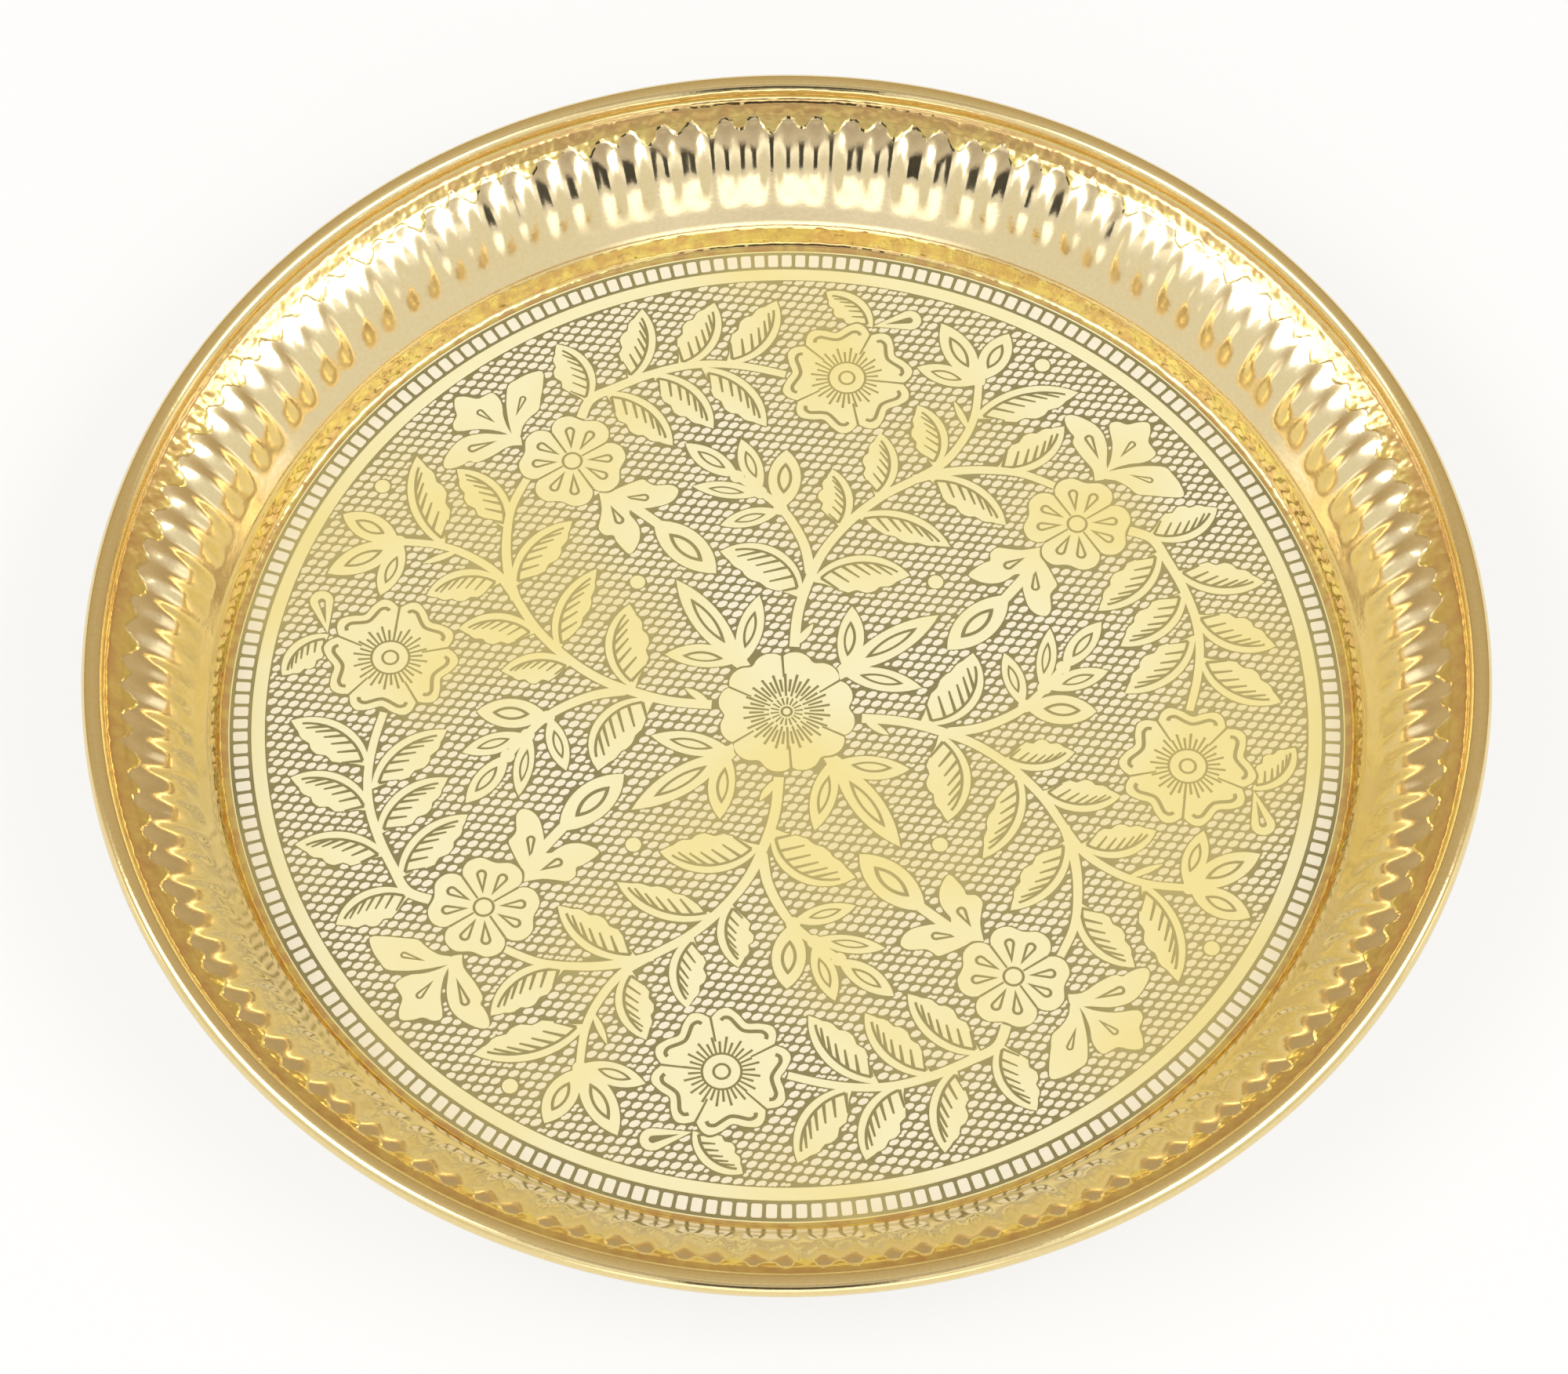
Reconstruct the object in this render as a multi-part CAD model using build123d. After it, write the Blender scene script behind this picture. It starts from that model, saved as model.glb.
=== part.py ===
from build123d import *
from math import atan2, cos, degrees, pi, radians, sin, tan
import os

# A thali plate pressed from one brass sheet: flat etched floor, riser, fluted wall, ledge and a wired rim.
# Millimetres, +Z up, origin at the middle of the underside.

# Sheet and rim
SHEET = 0.6
WIRE_RADIUS = 1.35
WIRE_CLEARANCE = 0.05
WIRE_JOINT = 0.4
CURL_OPENING = 24.0

# Floor, from the middle outwards
FIELD_RADIUS = 96.1
RING_WIDTH = 2.5
LINE_WIDTH = 0.65
SQUARE_LENGTH = 2.7
SQUARE_WIDTH = 1.95
SQUARE_COUNT = 240
EDGE_WIDTH = 0.25
EDGE_MARGIN = 0.05
LAND_HEIGHT = 0.15

# Side, from the floor upwards
COVE_RADIUS = 1.8
RISER_RISE = 4.6
RISER_SLOPE = 68.0
CREASE_RADIUS = 0.5
WALL_RISE = 16.0
WALL_SLOPE = 48.2
LEDGE_RUN = 3.4
LEDGE_SLOPE = 29.0
LEDGE_BEND = 0.6
BEAD_SEAT = 229.0

# Flutes of the wall: broad lobes that swell inwards with narrow grooves between them. Lobe share is the lobe's part
# of the pitch and lobe rise its part of the depth. Heights are above the riser and below the ledge.
FLUTE_COUNT = 62
FLUTE_DEPTH = 1.7
LOBE_SHARE = 0.62
LOBE_RISE = 0.4
FLUTE_START = 2.4
FLUTE_SWELL = 3.6
FLUTE_FADE = 2.2
FLUTE_STOP = 0.9

# Places in the floor's design are given in hundredths of the field's radius
UNIT = FIELD_RADIUS / 100
OUTLINE = 0.6
STEM_WIDTH = 2.0
DOT_RADIUS = 1.5
KNOT_RADIUS = 1.5

ring_outer = FIELD_RADIUS + RING_WIDTH
squares_inner = ring_outer + LINE_WIDTH
squares_outer = squares_inner + SQUARE_LENGTH
edge_inner = squares_outer + LINE_WIDTH
edge_outer = edge_inner + EDGE_WIDTH
floor_radius = edge_outer + EDGE_MARGIN
curl_inner = WIRE_RADIUS + WIRE_CLEARANCE
bead_radius = curl_inner + SHEET


def below(points, distance):
    """Points of the sheet's under face: the upper face's points moved square to it by the sheet's thickness."""
    slopes = []
    for here, there in zip(points, points[1:]):
        slopes.append(atan2(there[1] - here[1], there[0] - here[0]))
    slopes = [slopes[0]] + slopes + [slopes[-1]]
    moved = []
    for (r, z), before, after in zip(points, slopes, slopes[1:]):
        middle = (before + after) / 2
        reach = distance / cos((after - before) / 2)
        moved.append((r + reach * sin(middle), z - reach * cos(middle)))
    return moved


def section(upper, lower):
    """Face in the XZ plane between the sheet's upper line and its under line."""
    start = Line(lower @ 0, upper @ 0)
    end = Line(upper @ 1, lower @ 1)
    return Plane.XZ * make_face([upper, end, lower, start])


def place(x, y):
    return Vector(x * UNIT, y * UNIT)


# Pressed plate

riser_run = RISER_RISE / tan(radians(RISER_SLOPE))
wall_run = WALL_RISE / tan(radians(WALL_SLOPE))
corner = floor_radius + COVE_RADIUS * tan(radians(RISER_SLOPE / 2))
crease = (corner + riser_run, SHEET + RISER_RISE)
wall_top = (crease[0] + wall_run, crease[1] + WALL_RISE)
ledge_end = (wall_top[0] + LEDGE_RUN, wall_top[1] + LEDGE_RUN * tan(radians(LEDGE_SLOPE)))
bead_r = ledge_end[0] - bead_radius * cos(radians(BEAD_SEAT))
bead_z = ledge_end[1] - bead_radius * sin(radians(BEAD_SEAT))
wall_thickness = SHEET / sin(radians(WALL_SLOPE))
flute_bottom = crease[1] + FLUTE_START
flute_top = wall_top[1] - FLUTE_STOP


def wall_radius(z):
    return crease[0] + (z - crease[1]) / tan(radians(WALL_SLOPE))


def make_lower():
    """Floor, cove, riser and the plain foot of the wall."""
    upper = [(0, SHEET), (corner, SHEET), crease, (wall_radius(flute_bottom), flute_bottom)]
    lower = below(upper + [wall_top], SHEET)[:-1]
    lower[-1] = (upper[-1][0] + wall_thickness, flute_bottom)
    top_line = FilletPolyline(*upper, radius=[COVE_RADIUS, CREASE_RADIUS + SHEET])
    under_line = FilletPolyline(*lower, radius=[COVE_RADIUS + SHEET, CREASE_RADIUS])
    return revolve(section(top_line, under_line), Axis.Z)


def flute_ring(z, depth, outwards):
    """Closed line round the wall at one height: a lobe inwards and a groove outwards for each flute."""
    radius = wall_radius(z) + outwards
    pitch = 2 * pi / FLUTE_COUNT
    lobe = LOBE_SHARE * pitch
    arcs = []
    for n in range(FLUTE_COUNT):
        start = (n + 0.25) * pitch - lobe / 2
        for first, sweep, swing in ((start, lobe, -LOBE_RISE), (start + lobe, pitch - lobe, 1 - LOBE_RISE)):
            spots = []
            for share, reach in ((0, 0), (0.5, swing * depth), (1, 0)):
                angle = first + share * sweep
                spots.append(((radius + reach) * cos(angle), (radius + reach) * sin(angle), z))
            arcs.append(ThreePointArc(*spots))
    return make_face(arcs)


def make_fluted_wall():
    """Fluted part of the wall: the body inside the under face less the body inside the upper face."""
    swell = flute_bottom + FLUTE_SWELL
    fade = flute_top - FLUTE_FADE
    levels = ((flute_bottom, 0), (swell, FLUTE_DEPTH), (fade, FLUTE_DEPTH), (flute_top, 0))
    outside = loft([flute_ring(z, depth, wall_thickness) for z, depth in levels], ruled=True)
    inside = loft([flute_ring(z, depth, 0) for z, depth in levels], ruled=True)
    return outside - inside


def make_upper():
    """Plain top of the wall, the ledge and the edge rolled over the wire."""
    slope = radians(LEDGE_SLOPE)
    into_curl = (ledge_end[0] + SHEET * cos(slope), ledge_end[1] + SHEET * sin(slope))
    upper = [(wall_radius(flute_top), flute_top), wall_top, into_curl]
    lower = below(upper, SHEET)
    lower[0] = (upper[0][0] + wall_thickness, flute_top)
    top_line = FilletPolyline(*upper, radius=LEDGE_BEND + SHEET)
    under_line = FilletPolyline(*lower, radius=LEDGE_BEND)
    seam = BEAD_SEAT + degrees(SHEET / bead_radius)
    first = radians(seam)
    last = radians(seam + CURL_OPENING - 360)
    halfway = (first + last) / 2
    arcs = []
    for radius in (bead_radius, curl_inner):
        spots = []
        for angle in (first, halfway, last):
            spots.append((bead_r + radius * cos(angle), bead_z + radius * sin(angle)))
        arcs.append(ThreePointArc(*spots))
    curl = section(arcs[0], arcs[1])
    ledge = section(top_line, under_line)
    hole = Plane.XZ * Pos(bead_r, bead_z) * Circle(curl_inner)
    return revolve(curl + (ledge - hole), Axis.Z)


def make_plate():
    return make_lower() + make_fluted_wall() + make_upper()


def make_wire():
    """Wire that the rim is closed over, its ends butted with a small joint."""
    core = Plane.XZ * Pos(bead_r, bead_z) * Circle(WIRE_RADIUS)
    return revolve(core, Axis.Z, revolution_arc=360 - degrees(WIRE_JOINT / bead_r))


# Shapes of the floor's design

def leaf(base, tip, left, right):
    """Pointed leaf that swells to the left and right of the line from its base to its tip."""
    start = place(*base)
    end = place(*tip)
    along = (end - start).normalized()
    side = Vector(-along.Y, along.X) * UNIT
    middle = (start + end) / 2
    one = ThreePointArc(start, middle + side * left, end)
    other = ThreePointArc(end, middle - side * right, start)
    return make_face([one, other])


def between(base, tip, share):
    return (base[0] + share * (tip[0] - base[0]), base[1] + share * (tip[1] - base[1]))


def veined_leaf(base, tip, left, right):
    """Leaf with a curved slit that parts its rib, on the fuller side, from its blade."""
    foot = between(base, tip, 0.16)
    head = between(base, tip, 0.9)
    if left > right:
        slit = leaf(foot, head, 0.64 * left, -0.36 * left)
    else:
        slit = leaf(foot, head, -0.36 * right, 0.64 * right)
    return leaf(base, tip, left, right) - slit


def outlined_leaf(base, tip, left, right):
    """Leaf with a pointed slit along its middle."""
    slit = leaf(between(base, tip, 0.3), between(base, tip, 0.74), 0.34 * left, 0.34 * right)
    return leaf(base, tip, left, right) - slit


def stem(points, start, end):
    """Stem through the points, its width running evenly from start to end."""
    line = Spline(*[place(*p) for p in points])
    left = []
    right = []
    steps = len(points) + 2
    for n in range(steps):
        share = n / (steps - 1)
        along = line % share
        reach = Vector(-along.Y, along.X) * ((start + share * (end - start)) * UNIT / 2)
        left.append(line @ share + reach)
        right.append(line @ share - reach)
    edges = [Spline(*left), Line(left[-1], right[-1]), Spline(*right[::-1]), Line(right[0], left[0])]
    return make_face(edges)


def flower(centre, petals, first, reach, lobe, spread, grow=0):
    """Flower of two-lobed petals round a middle; grow gives the same outline set outwards."""
    discs = [Circle((reach - lobe) * UNIT)]
    for n in range(petals):
        for turn in (-spread, spread):
            angle = radians(first + 360 / petals * n + turn)
            far = reach - lobe
            discs.append(Pos(place(far * cos(angle), far * sin(angle))) * Circle((lobe + grow) * UNIT))
    return Pos(place(*centre)) * (Sketch() + discs)


def petal_slits(centre, petals, first, inner, outer):
    """Narrow cuts between neighbouring petals."""
    cuts = []
    for n in range(petals):
        angle = first + 360 / petals * (n + 0.5)
        cut = Rectangle((outer - inner) * UNIT, OUTLINE * UNIT)
        cuts.append(Pos(place(*centre)) * Rot(0, 0, angle) * Pos((outer + inner) / 2 * UNIT, 0) * cut)
    return cuts


def rounds(places, radius):
    """Round spots at the given places."""
    return [Pos(place(*one)) * Circle(radius * UNIT) for one in places]


def quarters(sketch):
    """The same shape in each quarter of the floor."""
    return Sketch() + [Rot(0, 0, 90 * n) * sketch for n in range(4)]


def land(sketch):
    """Shape left standing on the etched floor."""
    return Pos(0, 0, SHEET) * extrude(sketch, LAND_HEIGHT, dir=(0, 0, 1))


# One quarter of the design

OUTER_FLOWER = ((-12, -76.5), 5, 65, 13.2, 4.6, 17)
INNER_FLOWER = ((42.3, -56.9), 4, 76, 10.6, 4.2, 24)
CENTRE_FLOWER = ((0, 0), 6, 64, 13.2, 4.0, 13.5)

STEMS = (
    ((-1.5, -15), (-2.2, -22), (-4.2, -29), (-7.2, -36), (-12, -42.5), (-18.5, -48.5), (-26, -53),
     (-31, -56.5), (-35, -62), (-37.4, -68), (-38.3, -76)),
    ((-4.6, -31), (-3.6, -37), (-1.2, -42.5), (1.6, -46.5), (5.5, -50), (10, -53.5)),
    ((-25, -52.6), (-31, -54.2), (-38, -54.8), (-46, -54), (-53, -51)),
    ((41, -66), (39, -71.3), (34, -74.2), (28, -77), (21, -79.2), (14, -79.8), (7, -79), (-1, -77.3)),
)
VEINED_LEAVES = (
    ((-4.8, -29.2), (-24, -30.5), 5.2, 2.9),
    ((-2.8, -25.4), (13, -36), 1.7, 6.6),
    ((-13.2, -44.2), (-32, -37), 4.2, 1.8),
    ((-10.6, -41.2), (-9, -55), 3.1, 3.2),
    ((-17.6, -48.2), (-18.5, -63.5), 2.7, 3.9),
    ((-27.6, -53.4), (-43, -42), 4.2, 2.6),
    ((-29.2, -55.2), (-26, -70), 2.4, 4.2),
    ((-41, -54.6), (-55, -65), 2.6, 4.5),
    ((-36.9, -66.8), (-58, -73), 4.2, 3.0),
    ((36.3, -73.2), (22.5, -60.5), 4.2, 2.8),
    ((27, -77.6), (14.5, -64.5), 4.2, 2.6),
    ((17, -79), (4, -65), 4.2, 2.8),
    ((12.2, -79.6), (2, -95), 2.8, 4.8),
    ((21.7, -78.8), (14.5, -94.5), 2.9, 4.5),
    ((31.3, -75.4), (29, -93), 2.9, 3.9),
    ((39.4, -70.4), (46, -84.5), 3.0, 4.2),
)
SPRIG_LEAVES = (
    ((1.2, -45.4), (13, -42), 1.9, 2.1),
    ((0.8, -46), (0, -59.5), 3.2, 3.2),
    ((5, -49), (18.5, -51), 1.7, 2.0),
    ((5, -50), (9, -62), 2.3, 2.1),
    ((9.5, -53.3), (20, -61), 2.5, 2.2),
    ((-38.6, -76), (-44.5, -87), 2.9, 2.9),
    ((-38, -75.5), (-31, -89.5), 3.0, 3.0),
    ((-37.8, -75), (-26, -79), 2.2, 2.4),
)
CENTRE_LEAVES = (
    ((8.6, -11.4), (23.5, -12.7), 2.2, 2.9),
    ((9, -10.2), (5.3, -26), 2.4, 2.5),
    ((8.8, -10.6), (21.5, -29.5), 2.9, 2.9),
)
SPRAY_LEAVES = (
    ((36.5, -50.5), (30.5, -35.5), 4.2, 3.2),
    ((36.5, -50.5), (21.5, -49.5), 3.0, 2.6),
    ((52, -61.5), (67, -56.5), 3.2, 2.9),
    ((53.5, -61.8), (66, -71.5), 4.4, 3.6),
    ((52.5, -62), (48.5, -77.5), 3.8, 2.8),
)
BUD = ((26, -43), (13.7, -31), 3.9, 3.6)
BUD_STALK = ((36, -50.6), (30.5, -46.6), (25, -42.2))
LOW_SPRAY = ((-17.2, -88.6), (-8, -97.2), 2.7, 3.4)
LOW_LEAF = ((-17.4, -88.8), (-26.8, -90.7), 2.0, 1.7)
DOTS = ((29, -29), (-51, -79.5))
SPRIG_KNOTS = ((1.2, -45.8), (5.2, -49.6), (9.8, -53.3), (-38.2, -75.8))
CENTRE_KNOT = (9.2, -11.4)


def make_vines():
    """Stems with their veined leaves and leaf sprigs, cut clear of the flowers."""
    pieces = [stem(points, STEM_WIDTH, STEM_WIDTH * 0.75) for points in STEMS]
    pieces += [veined_leaf(*one) for one in VEINED_LEAVES]
    pieces += [outlined_leaf(*one) for one in SPRIG_LEAVES]
    pieces += rounds(SPRIG_KNOTS, KNOT_RADIUS)
    keep_off = [flower(*OUTER_FLOWER, grow=OUTLINE), flower(*INNER_FLOWER, grow=OUTLINE)]
    keep_off.append(Rot(0, 0, -90) * flower(*INNER_FLOWER, grow=OUTLINE))
    keep_off.append(flower(*CENTRE_FLOWER, grow=OUTLINE))
    return (Sketch() + pieces) - keep_off


def make_sprays():
    """Solid leaves, bud and low sprays that come from behind the flowers."""
    pieces = [outlined_leaf(*one) for one in SPRAY_LEAVES]
    pieces += [outlined_leaf(*BUD), stem(BUD_STALK, STEM_WIDTH, STEM_WIDTH)]
    pieces += [veined_leaf(*LOW_SPRAY), outlined_leaf(*LOW_LEAF)]
    keep_off = [flower(*OUTER_FLOWER, grow=OUTLINE), flower(*INNER_FLOWER, grow=OUTLINE)]
    return (Sketch() + pieces) - keep_off


def make_outer_flower():
    """Five-petalled flower with a ring round its eye."""
    centre = Pos(place(*OUTER_FLOWER[0]))
    eye = centre * (Circle(4.0 * UNIT) - Circle(3.4 * UNIT))
    pupil = centre * (Circle(1.9 * UNIT) - Circle(1.3 * UNIT))
    slits = petal_slits(OUTER_FLOWER[0], OUTER_FLOWER[1], OUTER_FLOWER[2], 6.5, 13)
    return flower(*OUTER_FLOWER) - [eye, pupil] - slits


def make_inner_flower():
    """Four-petalled flower with two slits in each petal."""
    centre = INNER_FLOWER[0]
    slits = petal_slits(centre, 4, INNER_FLOWER[2], 2.6, 11)
    for turn in (-31, -59):
        slits += petal_slits(centre, 4, INNER_FLOWER[2] + turn, 3.4, 7)
    eye = Pos(place(*centre)) * (Circle(2.6 * UNIT) - Circle(2.0 * UNIT))
    return flower(*INNER_FLOWER) - eye - slits


def make_centre_flower():
    slits = petal_slits(CENTRE_FLOWER[0], CENTRE_FLOWER[1], CENTRE_FLOWER[2], 7.5, 13)
    return flower(*CENTRE_FLOWER) - slits


def make_centre_sprigs():
    pieces = [outlined_leaf(*one) for one in CENTRE_LEAVES]
    pieces += rounds([CENTRE_KNOT], KNOT_RADIUS)
    pieces.append(stem(((6.5, -7), (8, -9.5), CENTRE_KNOT), 2.6, 2.6))
    return (Sketch() + pieces) - flower(*CENTRE_FLOWER, grow=OUTLINE)


def make_squares():
    """Row of small squares between the two dark lines of the border."""
    radius = (squares_inner + squares_outer) / 2
    square = Rectangle(SQUARE_LENGTH, SQUARE_WIDTH)
    return Sketch() + [spot * square for spot in PolarLocations(radius, SQUARE_COUNT)]


def ring(inner, outer):
    return Circle(outer) - Circle(inner)


vines = quarters(make_vines())
sprays = quarters(make_sprays()) - vines
nodes = {
    "pressed_plate": make_plate(),
    "rim_wire": make_wire(),
    "border_ring": land(ring(FIELD_RADIUS, ring_outer)),
    "border_squares": land(make_squares()),
    "border_edge": land(ring(edge_inner, edge_outer)),
    "centre_flower": land(make_centre_flower()),
    "centre_sprigs": land(quarters(make_centre_sprigs())),
    "vines": land(vines),
    "flower_sprays": land(sprays),
    "outer_flowers": land(quarters(make_outer_flower())),
    "inner_flowers": land(quarters(make_inner_flower())),
    "dots": land(quarters(Sketch() + rounds(DOTS, DOT_RADIUS))),
}

os.makedirs("parts", exist_ok=True)
for name, shape in nodes.items():
    export_step(shape, "parts/" + name + ".step")
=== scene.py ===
from functools import partial
from math import atan, atan2, cos, degrees, hypot, pi, radians, sin, sqrt, tan

import bpy
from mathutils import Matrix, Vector, geometry


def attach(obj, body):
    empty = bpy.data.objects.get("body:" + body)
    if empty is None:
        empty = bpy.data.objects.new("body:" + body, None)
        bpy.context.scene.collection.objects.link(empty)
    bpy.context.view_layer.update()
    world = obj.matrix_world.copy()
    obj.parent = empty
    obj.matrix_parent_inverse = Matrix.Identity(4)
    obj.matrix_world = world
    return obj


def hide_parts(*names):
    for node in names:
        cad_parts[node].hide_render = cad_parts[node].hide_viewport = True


# A thali plate pressed from one brass sheet. Lengths are millimetres, and go to metres where a mesh is made.
MM = 0.001

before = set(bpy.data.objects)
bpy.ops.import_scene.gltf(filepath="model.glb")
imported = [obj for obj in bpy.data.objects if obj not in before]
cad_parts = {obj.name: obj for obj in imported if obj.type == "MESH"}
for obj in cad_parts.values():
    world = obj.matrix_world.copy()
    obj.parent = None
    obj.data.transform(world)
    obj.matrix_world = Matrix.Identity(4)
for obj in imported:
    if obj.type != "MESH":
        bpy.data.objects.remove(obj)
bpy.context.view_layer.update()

# Sheet and rim
SHEET = 0.6
WIRE_RADIUS = 1.35
WIRE_CLEARANCE = 0.05
CURL_OPENING = 24.0
BEAD_SEAT = 229.0

# Floor, from the middle outwards
FIELD_RADIUS = 96.1
RING_OUTER = 98.6
SQUARES_INNER = 99.25
SQUARES_OUTER = 101.95
SQUARE_WIDTH = 1.95
SQUARE_CUT = 0.25
SQUARE_COUNT = 240
QUARTERS = 4
EDGE_INNER = 102.6
EDGE_OUTER = 102.85
FLOOR_RADIUS = 102.9
LAND_HEIGHT = 0.15
LAND_FOOT = SHEET - 0.02
EASED_EDGE = 0.05

# Side, from the floor upwards
COVE_RADIUS = 1.8
RISER_RISE = 4.6
RISER_SLOPE = 68.0
CREASE_RADIUS = 7.0
WALL_RISE = 16.0
WALL_SLOPE = 48.2
FOOT_SLOPE = 52.3
STRAIGHT_RUN = 10.0
LEDGE_RUN = 3.4
LEDGE_SLOPE = 29.0
LEDGE_BEND = 2.0

# Points of the section: radii at which the floor's two faces have one more, steps in the arcs of its upper face, round
# the bead and in the arcs of its under face, and how near to each other points are welded
FLOOR_STATION = 60.0
UNDER_STATION = 70.0
COVE_STEPS, CREASE_STEPS, LEDGE_STEPS = 8, 6, 3
BEAD_STEPS, HOLE_STEPS = 15, 6
UNDER_COVE_STEPS, UNDER_BEND_STEPS = 5, 2
WELD = 0.002

# Flutes: pairs of ribs that stand in from the wall, with a shallow groove in each pair and a deep one between pairs.
# Distances are up the wall from the crease; the crest is a share of the way from foot to head.
FLUTE_COUNT = 62
STEPS_PER_FLUTE = 16
RIB_HEIGHT = 0.8
RIB_PARTING = 1.8
RIB_CREST = 0.45
RIB_FOOT = 3.3
RIB_HEAD = 20.6
RIB_FALL = 2.4
WALL_STATIONS = (1.2, 2.2, 2.8, 3.0, 3.3, 3.7, 4.2, 4.8, 5.6, 6.6, 7.8, 9.2, 10.6, 12.0, 13.4, 14.8, 16.0, 17.1, 18.0,
                 18.8, 19.4, 19.85, 20.15, 20.4, 20.6, 21.0)

# Places in the floor's design are given in hundredths of the field's radius
UNIT = FIELD_RADIUS / 100
LINE = 0.5
STEM_WIDTH = 2.0


# Small helpers

def hex_colour(text):
    """Linear colour of an sRGB hex value."""
    parts = [int(text[n:n + 2], 16) / 255 for n in (1, 3, 5)]
    linear = [p / 12.92 if p <= 0.04045 else ((p + 0.055) / 1.055) ** 2.4 for p in parts]
    return (*linear, 1.0)


def node(tree, kind, inputs=None, operation=None, out=0, **settings):
    """Adds one node, its kind named without its family; inputs gives each socket a value or another node's output.

    Gives one of the node's outputs, or all of them where out is None."""
    families = ("GeometryNode", "ShaderNode", "FunctionNode", "Node") if tree.type == "GEOMETRY" else ("ShaderNode",)
    made = tree.nodes.new(next(family + kind for family in families if hasattr(bpy.types, family + kind)))
    if operation:
        made.operation = operation
    for name, value in settings.items():
        setattr(made, name, value)
    for key, value in (inputs or {}).items():
        if isinstance(value, bpy.types.NodeSocket):
            tree.links.new(value, made.inputs[key])
        else:
            made.inputs[key].default_value = value
    return made.outputs[out] if out is not None and made.outputs else made.outputs


def start_tree(name, sizes):
    """Empty geometry tree with named inputs; gives the tree, what adds its nodes, its inputs and their identifiers."""
    tree = bpy.data.node_groups.new(name, "GeometryNodeTree")
    tree.interface.new_socket("Geometry", in_out="OUTPUT", socket_type="NodeSocketGeometry")
    tree.interface.new_socket("Geometry", in_out="INPUT", socket_type="NodeSocketGeometry")
    keys = {}
    for size, kind in sizes.items():
        keys[size] = tree.interface.new_socket(size, in_out="INPUT", socket_type="NodeSocket" + kind).identifier
    add = partial(node, tree)
    return tree, add, add("GroupInput", out=None), keys


def end_tree(add, shape, material):
    """Realizes the shape, gives it its material and sends it out."""
    real = add("RealizeInstances", {"Geometry": shape})
    add("GroupOutput", {0: add("SetMaterial", {"Geometry": real, "Material": material})})


def make_piece(name, spots, faces):
    """Object with a mesh of the given points, in millimetres."""
    mesh = bpy.data.meshes.new(name)
    mesh.from_pydata([Vector(s) * MM for s in spots], [], faces)
    piece = bpy.data.objects.new(name, mesh)
    bpy.context.collection.objects.link(piece)
    return piece


def work_out(piece, tree, keys, values):
    """Runs a tree on the piece and keeps the result as its plain mesh."""
    run = piece.modifiers.new(tree.name, "NODES")
    run.node_group = tree
    for size, value in values.items():
        run[keys[size]] = value
    bpy.context.view_layer.update()
    graph = bpy.context.evaluated_depsgraph_get()
    mesh = bpy.data.meshes.new_from_object(piece.evaluated_get(graph))
    piece.modifiers.remove(run)
    piece.data = mesh
    mesh.name = piece.name
    return piece


def hand_over(piece, slot, *nodes):
    """Hangs the piece on the root body, and hides the CAD nodes that it stands for. Its slot is not used."""
    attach(piece, "root")
    if nodes:
        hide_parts(*nodes)


# Materials

def start_material(name):
    """Empty material; gives it, what adds its nodes and the place on the piece."""
    material = bpy.data.materials.new(name)
    material.use_nodes = True
    material.node_tree.nodes.clear()
    add = partial(node, material.node_tree)
    return material, add, add("TexCoord", out="Object")


# Lacquer on the upper face: between which heights it sets in on the riser, in the runs between the ribs and as amber,
# how far the runs hang down and how ragged they are, and the radii between which the bead starts
RISER_FILM = (5.0, 4.4)
RUNS = (19.5, 19.9)
RUN_DROP = 0.9
RUN_RAGGED = 1.2
AMBER = (23.2, 25.8)
AMBER_RAGGED = 6.0
BEAD_START = (123.0, 123.4)


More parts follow.
